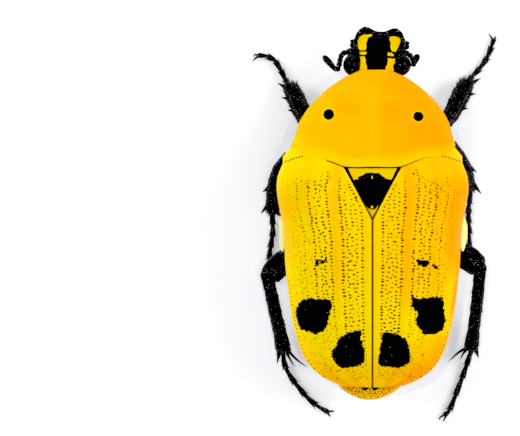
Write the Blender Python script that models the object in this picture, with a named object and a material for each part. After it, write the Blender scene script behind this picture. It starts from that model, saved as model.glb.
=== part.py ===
"""Flower beetle, Euchroea auripimenta, as a still museum model at life size.

The head looks along -Y, the back is up and the six feet stand on the plane z = 0. Every size below is in
millimetres and is turned to metres where a mesh is made. The beetle's left side is +X. Each part of the body
is one closed solid, and neighbours keep a gap, so that every plate can be made and painted on its own.
"""
import math
import random

import bmesh
import bpy
from mathutils import Vector

# Units and fits
MM = 0.001
GAP = 0.3
LOWEST_FOOT = 0.0

# Wing cases: half width, height of the side edge and height of the back along the body
WALL = 0.6
ELYTRON_FRONT = -4.61
ELYTRON_END = 12.1
ELYTRON_DOME = 2.4
ELYTRON_WIDTH = ((-4.61, 6.78), (-3.6, 7.15), (-2.4, 7.2), (0.5, 6.7), (2.9, 6.6), (5.3, 6.34),
                 (8.3, 5.65), (9.7, 5.08), (10.75, 4.35), (11.55, 3.45), (12.1, 2.45))
ELYTRON_EDGE = ((-4.61, 5.9), (-2.0, 5.1), (1.0, 4.7), (5.0, 4.6), (9.0, 4.8), (12.1, 5.2))
ELYTRON_BACK = ((-4.61, 9.2), (-2.0, 9.75), (1.0, 10.0), (4.0, 9.8), (7.0, 9.1), (9.0, 8.3),
                (10.5, 7.3), (11.5, 6.5), (12.1, 5.9))
ELYTRON_BASE = ((0.0, -4.1), (2.0, -4.1), (3.0, -4.45), (3.9, -4.78), (5.2, -4.9), (6.78, -4.61))
BASE_SHEAR = 0.2
RIDGES = ((2.62, 0.3), (4.65, 0.3))
RIDGE_HEIGHT = 0.1
RIDGE_START = -2.5
RIDGE_END = 10.0
SHOULDER = (5.3, -3.0, 1.1, 0.3)
REAR_CALLUS = (3.5, 9.6, 1.0, 0.25)
ROWS_ELYTRON = 26
COLUMNS_ELYTRON = 14

# Scutellum: the black triangle between the wing cases
SCUTELLUM_FRONT = -4.02
SCUTELLUM_TIP = -0.45
SCUTELLUM_HALF = 1.95
SCUTELLUM_SINK = 0.1
SCUTELLUM_THICK = 0.5

# Pronotum: its outline turns a little to the beetle's right
PRONOTUM_FLOOR = 4.6
PRONOTUM_DOME = 2.2
PRONOTUM_FRONT = -11.66
PRONOTUM_HIND_ANGLE = -6.0
PRONOTUM_WIDTH = ((-11.66, 1.3), (-11.1, 2.6), (-10.15, 3.97), (-9.06, 4.87), (-7.85, 5.6), (-7.1, 5.84),
                  (-6.4, 6.05), (-6.0, 6.18))
PRONOTUM_ARCH = ((-11.66, 2.3), (-11.1, 2.8), (-10.15, 4.03), (-9.06, 4.9), (-7.85, 5.62),
                 (-7.1, 5.86), (-6.4, 6.07), (-6.0, 6.2))
PRONOTUM_REAR = ((0.0, -4.42), (2.0, -4.46), (3.0, -4.8), (3.9, -5.1), (5.2, -5.28), (6.18, -6.0))
PRONOTUM_EDGE = ((-11.66, 5.4), (-10.0, 5.1), (-8.0, 5.05), (-6.0, 5.25), (-4.3, 5.5))
PRONOTUM_BACK = ((-11.66, 6.5), (-10.5, 7.1), (-9.0, 7.9), (-7.0, 8.7), (-5.0, 9.25), (-4.3, 9.35))
PRONOTUM_TURN = (-0.34, -0.06)
ROWS_PRONOTUM = 16
COLUMNS_PRONOTUM = 30

# Head: turned a little to the beetle's right, its shield notched in front
HEAD_REAR = -11.96
HEAD_FRONT = -14.93
HEAD_AXIS_REAR = -0.34
HEAD_AXIS_FRONT = -0.76
HEAD_WIDTH = ((0.0, 1.5), (0.1, 1.74), (0.25, 1.92), (0.4, 1.88), (0.55, 1.62), (0.7, 1.46), (1.0, 1.38))
HEAD_TOP = ((0.0, 4.75), (0.3, 5.0), (0.7, 5.7), (1.0, 6.15))
HEAD_BOTTOM = ((0.0, 4.15), (0.3, 3.95), (1.0, 3.7))
NOTCH_DEPTH = 0.4
NOTCH_HALF = 0.24
LOBE_ROUND = 0.4
HEAD_CROWN = 0.22
ROWS_HEAD = 12
COLUMNS_HEAD = 20

# Eyes: centre and half sizes
EYES = {
    "left": ((1.32, -12.37, 4.8), (0.72, 0.64, 0.8)),
    "right": ((-2.02, -12.37, 4.8), (0.74, 0.64, 0.8)),
}

# Trunk below the wing cases: keys run along the body
TRUNK_SIDE = 4.9
THORAX_STEP = -4.0
MESO_FRONT = -5.5
MESO_TOP = 4.25
MESO_SIDE = 4.0
MESO_WIDTH = 5.3
MESO_BELLY = 3.1
BREAST = ((-4.0, 3.1), (-3.1, 3.05), (-2.75, 1.75), (-2.3, 1.3), (-1.4, 1.2), (-0.75, 1.2))
COXA_FRONT = -0.45
THORAX_END = 2.1
COXA_ROOF = 3.3
COXA_REACH = 7.1
COXA_TOP_MAX = 4.33
COXA_INNER = 0.15
COXA_OUTER = 6.3
COXA_FALL = 0.45
COXA_FRONT_LINE = ((0.15, -0.45), (6.2, -0.45), (6.7, -0.25), (7.1, 0.35))
COXA_REAR_LINE = ((0.15, 1.95), (2.2, 1.9), (4.0, 1.45), (5.8, 0.75), (6.4, 1.1), (6.8, 1.75), (7.1, 1.25))
COXA_FLOOR = ((0.15, 1.15), (2.0, 1.3), (4.0, 1.95), (5.6, 2.85), (6.4, 3.3), (7.1, 3.5))
COXA_ROWS = 6
COXA_COLUMNS = 14
SECTION_POWER = 2.4
COXA_POWER = 2.6
MESO_POWER = 4.0
KEEL_PATH = ((0.0, -2.2, 1.85), (0.0, -4.0, 1.8), (0.0, -5.2, 1.95))
KEEL_HALF = (0.6, 0.58, 0.55, 0.52, 0.5, 0.45, 0.3)
KEEL_THICK = (0.5, 0.5, 0.48, 0.45, 0.42, 0.38, 0.25)
PROSTERNUM_BELLY = ((-11.3, 3.7), (-10.6, 3.3), (-9.4, 3.1), (-8.0, 3.1), (-7.0, 3.2), (-6.2, 3.6))
PROSTERNUM_INSET = 0.45
SIDE_PLATE = ((3.3, 5.75, 6.35, -5.5, -4.35), (4.2, 5.75, 6.6, -5.65, -4.2), (5.1, 5.8, 6.75, -5.7, -4.3),
              (5.45, 5.75, 6.7, -5.65, -4.95), (6.0, 5.72, 6.5, -5.5, -5.05), (6.45, 5.75, 6.1, -5.35, -5.15))
ABDOMEN_BELLY = ((2.4, 2.5), (4.0, 2.05), (8.0, 1.9), (10.8, 2.3), (11.8, 3.0))
STERNITES = (2.4, 3.9, 5.4, 6.9, 8.3, 9.4, 10.05)
ABDOMEN_TAIL = (10.3, 2.4, 4.2, 1.0, 2.6)
STERNITE_STEP = 0.12
TRUNK_COLUMNS = 14

# Pygidium: the end plate, as its middle line from above to below
PYGIDIUM_LINE = ((0.0, 12.0, 4.85), (0.25, 12.75, 4.45), (0.5, 13.2, 3.6), (0.75, 13.15, 2.75),
                 (1.0, 12.7, 2.1))
PYGIDIUM_HALF = ((0.0, 2.85), (0.3, 2.7), (0.6, 2.2), (0.85, 1.5), (1.0, 0.8))
PYGIDIUM_BEND = 0.17
PYGIDIUM_INNER = 10.65
PYGIDIUM_RIM = 0.3

# Fine repeats
SPINE_RADIUS = 0.13
SPINE_LENGTH = 0.34
CLAW_RADIUS = 0.17
TARSUS_THIN = 0.24
TARSUS_WIDE = 0.29
TARSOMERES = 5
SEED = 11

# Colours as linear red, green and blue
YELLOW = (0.90, 0.50, 0.01)
BLACK = (0.012, 0.012, 0.015)
PALE = (0.85, 0.80, 0.30)
BROWN = (0.03, 0.012, 0.006)

# Legs: each joint of the six poses, from the hip outwards
LEGS = {
    "fore_left": {
        "hip": ((1.2, -9.0, 2.08), (0.8, 0.85, 0.68)),
        "femur": ((1.5, -8.8, 2.1), (3.0, -8.15, 2.25), (4.75, -7.4, 2.65)),
        "femur_half": (0.6, 0.75, 0.5),
        "tibia": ((4.85, -7.55, 2.6), (5.15, -8.1, 2.3), (5.5, -8.96, 1.9), (5.93, -10.0, 1.35),
                  (6.3, -10.6, 1.05)),
        "tibia_half": (0.34, 0.46, 0.54, 0.5, 0.52),
        "teeth": (((5.7, -8.7, 1.95), (6.46, -8.67, 1.9)), ((6.0, -9.6, 1.55), (6.99, -9.63, 1.5)),
                  ((6.3, -10.3, 1.15), (7.12, -10.68, 0.95))),
        "spurs": (((6.1, -10.45, 1.05), (5.75, -11.15, 0.8)),),
        "tarsus": ((6.5, -10.98, 0.72), (6.78, -11.35, 0.5), (7.05, -11.8, 0.34), (7.33, -12.25, 0.26),
                   (7.65, -12.53, 0.24), (8.1, -12.74, 0.24), (8.62, -12.86, 0.24)),
        "claws": ((9.25, -12.66, 0.16), (9.2, -12.98, 0.16)),
    },
    "fore_right": {
        "hip": ((-1.2, -9.0, 2.08), (0.8, 0.85, 0.68)),
        "femur": ((-1.5, -8.8, 2.1), (-3.2, -8.15, 2.3), (-5.2, -7.35, 2.7)),
        "femur_half": (0.6, 0.75, 0.5),
        "tibia": ((-5.32, -7.5, 2.6), (-5.9, -8.3, 2.2), (-6.5, -9.4, 1.65), (-6.85, -10.25, 1.3),
                  (-7.15, -10.8, 1.05)),
        "tibia_half": (0.34, 0.48, 0.54, 0.5, 0.52),
        "teeth": (((-6.4, -8.75, 1.9), (-7.25, -8.8, 1.85)), ((-6.9, -9.8, 1.5), (-7.86, -9.91, 1.45)),
                  ((-7.2, -10.55, 1.15), (-8.16, -11.06, 0.95))),
        "spurs": (((-6.95, -10.6, 1.05), (-6.65, -11.35, 0.8)),),
        "tarsus": ((-7.42, -11.15, 0.72), (-7.94, -11.75, 0.46), (-8.39, -12.25, 0.3), (-8.72, -12.8, 0.24),
                   (-8.99, -13.37, 0.24), (-9.12, -14.0, 0.24)),
        "claws": ((-8.9, -14.7, 0.16), (-9.36, -14.55, 0.16)),
    },
    "mid_left": {
        "hip": ((1.55, -3.7, 2.1), (0.65, 0.62, 0.66)),
        "femur": ((1.8, -3.75, 1.95), (4.0, -4.7, 2.45), (6.2, -5.6, 3.15)),
        "femur_half": (0.55, 0.75, 0.5),
        "tibia": ((6.4, -5.42, 3.1), (6.95, -4.4, 2.75), (7.4, -3.3, 2.2), (7.65, -2.2, 1.6), (7.8, -1.4, 1.1)),
        "tibia_half": (0.32, 0.42, 0.48, 0.46, 0.5),
        "teeth": (((7.7, -2.75, 1.85), (8.33, -2.45, 1.75)), ((7.95, -1.65, 1.2), (8.48, -0.87, 1.05))),
        "spurs": (((7.6, -1.55, 1.1), (6.7, -0.4, 0.85)), ((7.55, -1.6, 1.1), (7.1, -0.62, 0.75))),
        "tarsus": ((7.76, -0.98, 0.75), (7.7, -0.3, 0.48), (7.69, 0.5, 0.32), (7.78, 1.2, 0.26),
                   (7.9, 1.95, 0.24), (7.98, 2.75, 0.24), (8.03, 3.85, 0.24)),
        "claws": ((7.85, 4.5, 0.16), (8.2, 4.48, 0.16)),
    },
    "mid_right": {
        "hip": ((-1.55, -3.7, 2.1), (0.65, 0.62, 0.66)),
        "femur": ((-1.8, -3.75, 1.95), (-3.9, -4.9, 2.45), (-5.85, -6.25, 3.1)),
        "femur_half": (0.55, 0.75, 0.5),
        "tibia": ((-6.05, -6.15, 3.1), (-6.5, -5.4, 2.85), (-7.0, -4.4, 2.3), (-7.35, -3.5, 1.7),
                  (-7.55, -2.8, 1.2)),
        "tibia_half": (0.32, 0.4, 0.46, 0.46, 0.5),
        "teeth": (((-7.2, -4.2, 2.1), (-7.89, -3.96, 2.0)), ((-7.7, -3.1, 1.35), (-8.31, -2.39, 1.15))),
        "spurs": (((-7.35, -3.0, 1.2), (-6.5, -1.85, 0.85)), ((-7.3, -3.0, 1.2), (-6.85, -2.1, 0.8))),
        "tarsus": ((-7.52, -2.38, 0.8), (-7.44, -1.75, 0.5), (-7.38, -1.0, 0.34), (-7.4, -0.23, 0.26),
                   (-7.44, 0.6, 0.24), (-7.5, 1.8, 0.24)),
        "claws": ((-7.35, 2.45, 0.16), (-7.7, 2.42, 0.16)),
    },
    "hind_left": {
        "hip": ((1.6, 2.85, 1.45), (0.55, 0.5, 0.5)),
        "femur": ((1.8, 2.9, 1.45), (4.6, 3.05, 1.7), (6.4, 2.9, 2.25), (7.85, 3.8, 2.85)),
        "femur_half": (0.5, 0.85, 1.1, 0.6),
        "tibia": ((7.9, 4.25, 2.75), (7.67, 5.55, 2.3), (7.42, 6.86, 1.8), (7.12, 8.16, 1.3),
                  (6.9, 9.3, 0.98)),
        "tibia_half": (0.38, 0.46, 0.5, 0.48, 0.55),
        "teeth": (((7.1, 9.1, 1.0), (7.34, 10.3, 0.85)),),
        "spurs": (((6.6, 9.15, 0.95), (4.95, 10.74, 0.6)), ((6.65, 9.2, 0.9), (5.98, 10.52, 0.55))),
        "tarsus": ((6.82, 9.72, 0.7), (6.6, 10.5, 0.48), (6.22, 11.25, 0.32), (5.84, 11.88, 0.26),
                   (5.38, 12.5, 0.24), (4.91, 13.05, 0.24), (4.32, 13.55, 0.24), (3.5, 14.0, 0.24)),
        "claws": ((2.8, 14.02, 0.16), (2.98, 14.4, 0.16)),
    },
    "hind_right": {
        "hip": ((-1.6, 2.85, 1.45), (0.55, 0.5, 0.5)),
        "femur": ((-1.8, 2.9, 1.45), (-4.5, 2.95, 1.7), (-6.6, 2.35, 2.25), (-8.1, 3.05, 2.85)),
        "femur_half": (0.5, 0.8, 0.95, 0.55),
        "tibia": ((-8.17, 3.6, 2.75), (-8.05, 5.1, 2.3), (-7.9, 6.6, 1.8), (-7.75, 8.0, 1.3),
                  (-7.6, 9.15, 0.98)),
        "tibia_half": (0.36, 0.42, 0.44, 0.44, 0.52),
        "teeth": (((-7.85, 9.0, 1.0), (-8.14, 9.95, 0.85)),),
        "spurs": (((-7.4, 9.0, 0.95), (-5.81, 10.28, 0.6)), ((-7.35, 9.05, 0.9), (-6.75, 10.0, 0.55))),
        "tarsus": ((-7.55, 9.6, 0.7), (-7.3, 10.3, 0.48), (-6.92, 11.25, 0.3), (-6.54, 12.12, 0.24),
                   (-6.21, 12.94, 0.24), (-5.87, 13.75, 0.24), (-5.5, 14.35, 0.24)),
        "claws": ((-4.89, 14.77, 0.16), (-5.2, 14.92, 0.16)),
    },
}
TIBIA_THICK = 0.32
FEMUR_THICK = 0.55
TOOTH_RADIUS = 0.3
SPUR_RADIUS = 0.2

# Feelers: stalk points, then the ends of the leaf club
FEELERS = {
    "left": (((1.62, -13.42, 4.3), (2.2, -13.4, 4.45), (2.62, -13.05, 4.6), (2.66, -12.3, 4.75),
              (2.85, -11.85, 4.8)),
             ((2.85, -11.85, 4.8), (3.68, -12.8, 4.85))),
    "right": (((-2.62, -13.42, 4.3), (-2.98, -13.32, 4.45), (-3.32, -13.05, 4.6), (-3.45, -12.75, 4.75)),
              ((-3.45, -12.85, 4.75), (-3.32, -11.6, 4.9))),
}
FEELER_RADIUS = 0.25
CLUB_HALF = (0.28, 0.34)
CHIN = ((-0.45, -12.95, 3.08), (1.1, 1.25, 0.45))
PALP_HALF = (0.22, 0.25, 0.23, 0.26, 0.24, 0.27, 0.25, 0.16)
PALPS = (((0.3, -13.2, 3.0), (1.3, -13.2, 3.1), (1.62, -13.75, 3.15), (1.7, -14.15, 3.2)),
         ((-1.0, -13.2, 3.0), (-2.2, -13.1, 3.1), (-2.6, -13.5, 3.15), (-2.75, -14.0, 3.2)))


def profile(table, key):
    """Value at key on a smooth curve through the table's pairs."""
    if key <= table[0][0]:
        return table[0][1]
    if key >= table[-1][0]:
        return table[-1][1]
    index = max(i for i in range(len(table) - 1) if table[i][0] <= key)
    (start, first), (end, last) = table[index], table[index + 1]
    before = table[max(index - 1, 0)]
    after = table[min(index + 2, len(table) - 1)]
    span = end - start
    slope_in = (last - before[1]) / (end - before[0])
    slope_out = (after[1] - first) / (after[0] - start)
    t = (key - start) / span
    return (first * (1 + 2 * t) * (1 - t) ** 2 + last * t * t * (3 - 2 * t)
            + span * (slope_in * t * (1 - t) ** 2 - slope_out * t * t * (1 - t)))


def dome(offset, half, power):
    """Height from 1 in the middle to 0 at the edge of a rounded-square arch."""
    return max(0.0, 1.0 - min(1.0, abs(offset) / half) ** power) ** (1.0 / power)


def hill(x, y, centre_x, centre_y, radius, height):
    """A smooth bump."""
    return height * math.exp(-((x - centre_x) ** 2 + (y - centre_y) ** 2) / radius ** 2)


def route(points, count):
    """Evenly counted points on a smooth curve through the given ones."""
    last = len(points) - 1
    result = []
    for step in range(count + 1):
        key = last * step / count
        result.append(Vector([profile([(i, p[axis]) for i, p in enumerate(points)], key) for axis in range(3)]))
    return result


def mesh_object(name, points, faces):
    """A closed mesh from points in millimetres, with its faces turned outwards."""
    shape = bmesh.new()
    corners = [shape.verts.new(Vector(p) * MM) for p in points]
    for face in faces:
        if len(set(face)) == len(face):
            shape.faces.new([corners[i] for i in face])
    bmesh.ops.remove_doubles(shape, verts=shape.verts, dist=1e-7)
    loose = [vert for vert in shape.verts if not vert.link_faces]
    bmesh.ops.delete(shape, geom=loose, context="VERTS")
    bmesh.ops.recalc_face_normals(shape, faces=shape.faces)
    if shape.calc_volume(signed=True) < 0:
        bmesh.ops.reverse_faces(shape, faces=shape.faces)
    mesh = bpy.data.meshes.new(name)
    shape.to_mesh(mesh)
    shape.free()
    result = bpy.data.objects.new(name, mesh)
    bpy.context.scene.collection.objects.link(result)
    return result


def slab(name, top, bottom):
    """A closed plate between two grids of points that have the same rows and columns."""
    rows, columns = len(top), len(top[0])
    points = [p for row in top for p in row] + [p for row in bottom for p in row]
    under = rows * columns
    faces = []
    for i in range(rows - 1):
        for j in range(columns - 1):
            a, b = i * columns + j, i * columns + j + 1
            c, d = b + columns, a + columns
            for one, two, three in ((a, b, c), (a, c, d)):
                faces.append((one, two, three))
                faces.append((three + under, two + under, one + under))
    rim = [j for j in range(columns)]
    rim += [i * columns + columns - 1 for i in range(1, rows)]
    rim += [(rows - 1) * columns + j for j in range(columns - 2, -1, -1)]
    rim += [i * columns for i in range(rows - 2, 0, -1)]
    for here, there in zip(rim, rim[1:] + rim[:1]):
        faces.append((here, there, there + under))
        faces.append((here, there + under, here + under))
    return mesh_object(name, points, faces)


def loft(name, rings):
    """A closed body through rings of equal count, with a cap fanned over each end."""
    count = len(rings[0])
    points = [p for ring in rings for p in ring]
    faces = []
    for i in range(len(rings) - 1):
        for j in range(count):
            a, b = i * count + j, i * count + (j + 1) % count
            c, d = b + count, a + count
            faces += [(a, b, c), (a, c, d)]
    for ring_index in (0, len(rings) - 1):
        ring = rings[ring_index]
        points.append(sum((Vector(p) for p in ring), Vector()) / count)
        hub = len(points) - 1
        base = ring_index * count
        faces += [(hub, base + j, base + (j + 1) % count) for j in range(count)]
    return mesh_object(name, points, faces)


def tube(name, path, halves, thicks, sides, upright=(0, 0, 1)):
    """A flattened tube along a path, from its half widths and half thicknesses."""
    rings = []
    for i, centre in enumerate(path):
        along = (path[min(i + 1, len(path) - 1)] - path[max(i - 1, 0)]).normalized()
        across = along.cross(Vector(upright)).normalized()
        lift = across.cross(along)
        ring = []
        for j in range(sides):
            angle = math.tau * (j + 0.5) / sides
            ring.append(centre + across * halves[i] * math.cos(angle) + lift * thicks[i] * math.sin(angle))
        rings.append(ring)
    return loft(name, rings)


def spike(name, base, tip, radius, sides=5):
    """A straight tapered spine with its root at base."""
    base, tip = Vector(base), Vector(tip)
    along = (tip - base).normalized()
    across = along.orthogonal().normalized()
    lift = along.cross(across)
    ring = [base + (across * math.cos(math.tau * j / sides) + lift * math.sin(math.tau * j / sides)) * radius
            for j in range(sides)]
    points = ring + [tip]
    faces = [(j, (j + 1) % sides, sides) for j in range(sides)] + [tuple(range(sides - 1, -1, -1))]
    return mesh_object(name, points, faces)


def ball(name, centre, halves, rings=7, sides=12):
    """A closed ellipsoid."""
    points = [(centre[0], centre[1], centre[2] + halves[2])]
    for i in range(1, rings):
        polar = math.pi * i / rings
        for j in range(sides):
            turn = math.tau * j / sides
            points.append((centre[0] + halves[0] * math.sin(polar) * math.cos(turn),
                           centre[1] + halves[1] * math.sin(polar) * math.sin(turn),
                           centre[2] + halves[2] * math.cos(polar)))
    points.append((centre[0], centre[1], centre[2] - halves[2]))
    last = len(points) - 1
    faces = []
    for j in range(sides):
        after = (j + 1) % sides
        faces.append((0, 1 + j, 1 + after))
        faces.append((last, last - sides + after, last - sides + j))
        for i in range(rings - 2):
            a = 1 + i * sides
            faces += [(a + j, a + sides + j, a + sides + after), (a + j, a + sides + after, a + after)]
    return mesh_object(name, points, faces)


def largest_body(mesh):
    """Keep only the closed surface with the most faces."""
    shape = bmesh.new()
    shape.from_mesh(mesh)
    waiting = set(shape.faces)
    bodies = []
    while waiting:
        body = {waiting.pop()}
        border = list(body)
        while border:
            face = border.pop()
            for edge in face.edges:
                for near in edge.link_faces:
                    if near in waiting:
                        waiting.remove(near)
                        body.add(near)
                        border.append(near)
        bodies.append(body)
    keep = max(bodies, key=len)
    scrap = [face for body in bodies if body is not keep for face in body]
    bmesh.ops.delete(shape, geom=scrap, context="FACES")
    loose = [vert for vert in shape.verts if not vert.link_faces]
    bmesh.ops.delete(shape, geom=loose, context="VERTS")
    shape.to_mesh(mesh)
    shape.free()


def combine(base, others, operation):
    """One Boolean of a collection of closed bodies with the base, applied."""
    if not others:
        return base
    group = bpy.data.collections.new(base.name + "_pieces")
    bpy.context.scene.collection.children.link(group)
    for other in others:
        bpy.context.scene.collection.objects.unlink(other)
        group.objects.link(other)
    cut = base.modifiers.new("combine", "BOOLEAN")
    cut.operand_type = "COLLECTION"
    cut.collection = group
    cut.operation = operation
    cut.solver = "EXACT"
    seen = base.evaluated_get(bpy.context.evaluated_depsgraph_get())
    made = bpy.data.meshes.new_from_object(seen)
    base.modifiers.clear()
    base.data = made
    for other in others:
        bpy.data.objects.remove(other)
    bpy.data.collections.remove(group)
    largest_body(base.data)
    return base


def stand_on_floor(target):
    """Flatten whatever would reach below the floor, which gives each foot its small flat."""
    for vert in target.data.vertices:
        vert.co.z = max(vert.co.z, LOWEST_FOOT * MM)


def paint(target, colour, roughness, metallic=0.0):
    """Give an object a material of its own and smooth shading on its round stretches."""
    finish = bpy.data.materials.new(target.name + "_finish")
    finish.use_nodes = True
    shader = finish.node_tree.nodes["Principled BSDF"]
    shader.inputs["Base Color"].default_value = (*colour, 1.0)
    shader.inputs["Roughness"].default_value = roughness
    shader.inputs["Metallic"].default_value = metallic
    target.data.materials.clear()
    target.data.materials.append(finish)
    target.data.shade_smooth()
    target.data.set_sharp_from_angle(angle=math.radians(40))


def elytron_height(x, y, inset=0.0):
    """Height of a wing case's face at a distance x from the seam, inset from its outer face."""
    half = profile(ELYTRON_WIDTH, y) - inset
    edge = profile(ELYTRON_EDGE, y)
    rise = profile(ELYTRON_BACK, y) - edge - inset
    height = edge + rise * dome(x, half, ELYTRON_DOME)
    if inset == 0.0:
        along = dome(y - (RIDGE_START + RIDGE_END) / 2, (RIDGE_END - RIDGE_START) / 2, 2.0)
        narrowing = half / 6.7
        for place, width in RIDGES:
            height += RIDGE_HEIGHT * along * math.exp(-((abs(x) - place * narrowing) / width) ** 2)
        height += hill(abs(x), y, *SHOULDER)
        height += hill(abs(x), y, *REAR_CALLUS)
    return height


def scutellum_half(y):
    """Half width of the scutellum, which falls below zero past its tip."""
    reach = (y - SCUTELLUM_FRONT) / (SCUTELLUM_TIP - SCUTELLUM_FRONT)
    return SCUTELLUM_HALF * (1.0 - reach)


def elytron(side, sign):
    """One wing case: a domed wall from the seam to the side edge."""
    top, bottom = [], []
    for i in range(ROWS_ELYTRON + 1):
        v = i / ROWS_ELYTRON
        line = ELYTRON_FRONT + (ELYTRON_END - ELYTRON_FRONT) * (1 - (1 - v) ** 1.25)
        shear = max(0.0, 1.0 - v / BASE_SHEAR) ** 2
        half = profile(ELYTRON_WIDTH, line)
        inner = max(GAP / 2, scutellum_half(line) + GAP)
        first = math.asin(min(1.0, (inner / half) ** (ELYTRON_DOME / 2)))
        upper, lower = [], []
        for j in range(COLUMNS_ELYTRON + 1):
            angle = first + (math.pi / 2 - first) * j / COLUMNS_ELYTRON
            x = half * math.sin(angle) ** (2 / ELYTRON_DOME)
            y = line + shear * (profile(ELYTRON_BASE, x) - ELYTRON_FRONT)
            below = max(inner, x * (half - WALL) / half)
            upper.append((sign * x, y, elytron_height(x, line)))
            lower.append((sign * below, y, elytron_height(below, line, WALL)))
        top.append(upper)
        bottom.append(lower)
    return slab("elytron_" + side, top, bottom)


def scutellum():
    """The triangular plate between the bases of the wing cases."""
    top, bottom = [], []
    rows, columns = 10, 6
    for i in range(rows + 1):
        y = SCUTELLUM_FRONT + (SCUTELLUM_TIP - 0.12 - SCUTELLUM_FRONT) * i / rows
        half = scutellum_half(y)
        upper, lower = [], []
        for j in range(columns + 1):
            x = half * (2 * j / columns - 1)
            z = elytron_height(x, y) - SCUTELLUM_SINK
            upper.append((x, y, z))
            lower.append((x, y, z - SCUTELLUM_THICK))
        top.append(upper)
        bottom.append(lower)
    return slab("scutellum", top, bottom)


def pronotum_axis(y):
    """Middle of the pronotum, which is turned a little."""
    front, rear = PRONOTUM_TURN
    reach = (y - PRONOTUM_FRONT) / (PRONOTUM_HIND_ANGLE - PRONOTUM_FRONT)
    return front + (rear - front) * min(1.0, reach)


def pronotum_height(x, y):
    """Height of the pronotum's face."""
    half = profile(PRONOTUM_ARCH, y)
    edge = profile(PRONOTUM_EDGE, y)
    return edge + (profile(PRONOTUM_BACK, y) - edge) * dome(x - pronotum_axis(y), half, PRONOTUM_DOME)


def pronotum():
    """The shield behind the head, from its front and side outline to its rear margin."""
    top, bottom = [], []
    length = PRONOTUM_HIND_ANGLE - PRONOTUM_FRONT
    for j in range(COLUMNS_PRONOTUM + 1):
        s = 2 * j / COLUMNS_PRONOTUM - 1
        out = abs(s)
        sign = 1 if s >= 0 else -1
        if out < 0.2:
            front = (1.3 * out / 0.2, PRONOTUM_FRONT)
        else:
            y = PRONOTUM_FRONT + length * ((out - 0.2) / 0.8) ** 1.15
            front = (profile(PRONOTUM_WIDTH, y), y)
        rear_x = profile(PRONOTUM_WIDTH, PRONOTUM_HIND_ANGLE) * out ** 0.9
        rear = (rear_x, profile(PRONOTUM_REAR, rear_x))
        upper, lower = [], []
        for i in range(ROWS_PRONOTUM + 1):
            v = i / ROWS_PRONOTUM
            y = front[1] + (rear[1] - front[1]) * v
            x = sign * (front[0] + (rear[0] - front[0]) * v) + pronotum_axis(y)
            upper.append((x, y, pronotum_height(x, y)))
            lower.append((x, y, PRONOTUM_FLOOR))
        top.append(upper)
        bottom.append(lower)
    return slab("pronotum", top, bottom)


def head_point(s, v):
    """Place of a point of the head's outline grid, s from side to side and v from front to rear."""
    lobe = LOBE_ROUND * max(0.0, (abs(s) - 0.62) / 0.38) ** 2
    notch = NOTCH_DEPTH * math.exp(-(s / NOTCH_HALF) ** 2)
    front = HEAD_FRONT + lobe + notch
    y = front + (HEAD_REAR - front) * v
    axis = HEAD_AXIS_FRONT + (HEAD_AXIS_REAR - HEAD_AXIS_FRONT) * v
    return axis + s * profile(HEAD_WIDTH, v), y


def head():
    """The head capsule with its notched shield in front and a socket for each eye."""
    top, bottom = [], []
    for i in range(ROWS_HEAD + 1):
        v = i / ROWS_HEAD
        upper, lower = [], []
        for j in range(COLUMNS_HEAD + 1):
            s = 2 * j / COLUMNS_HEAD - 1
            x, y = head_point(s, v)
            crown = HEAD_CROWN + 0.5 * v
            upper.append((x, y, profile(HEAD_TOP, v) - crown * s * s))
            lower.append((x, y, profile(HEAD_BOTTOM, v) + 0.25 * s * s))
        top.append(upper)
        bottom.append(lower)
    capsule = slab("head", top, bottom)
    sockets = []
    for centre, halves in EYES.values():
        sockets.append(ball("socket", centre, [half + GAP for half in halves], 8, 14))
    return combine(capsule, sockets, "DIFFERENCE")


def mouthparts():
    """The chin plate under the head and the two jointed palps beside it."""
    chin = ball("mouthparts", *CHIN)
    palps = []
    for points in PALPS:
        path = route(points, len(PALP_HALF) - 1)
        palps.append(tube("palp", path, PALP_HALF, PALP_HALF, 6))
    return combine(chin, palps, "UNION")


def feeler(side):
    """One antenna: a bent stalk and its flat leaf club."""
    stalk_points, (club_start, club_end) = FEELERS[side]
    path = route(stalk_points, 8)
    halves = [FEELER_RADIUS * (1.08 if i % 2 else 0.95) for i in range(len(path))]
    stalk = tube("antenna_" + side, path, halves, halves, 6)
    club_path = route((club_start, club_end), 6)
    swell = [math.sin(math.pi * (0.16 + 0.7 * i / 6)) for i in range(7)]
    club = tube("club", club_path, [CLUB_HALF[0] * s for s in swell], [CLUB_HALF[1] * s for s in swell], 8)
    return combine(stalk, [club], "UNION")


def trunk_ring(y, half, side, rise, belly, upper_power=2.4, lower_power=2.0):
    """One cross-section of the trunk, round the back and back along the belly."""
    ring = []
    for j in range(TRUNK_COLUMNS + 1):
        angle = math.pi * (j / TRUNK_COLUMNS - 0.5)
        power = 2 / upper_power
        x = half * math.copysign(abs(math.sin(angle)) ** power, angle)
        ring.append((x, y, side + rise * abs(math.cos(angle)) ** power))
    for j in range(1, TRUNK_COLUMNS):
        angle = math.pi * (0.5 - j / TRUNK_COLUMNS)
        power = 2 / lower_power
        x = half * math.copysign(abs(math.sin(angle)) ** power, angle)
        ring.append((x, y, side - (side - belly) * abs(math.cos(angle)) ** power))
    return ring


def under_wing_cases(y):
    """Half width, side height and rise of the trunk where the wing cases cover it."""
    edge = profile(ELYTRON_EDGE, y)
    half = profile(ELYTRON_WIDTH, y) - WALL - GAP
    side = min(TRUNK_SIDE, edge)
    return half, side, profile(ELYTRON_BACK, y) - WALL - GAP - side - 0.05


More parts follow.
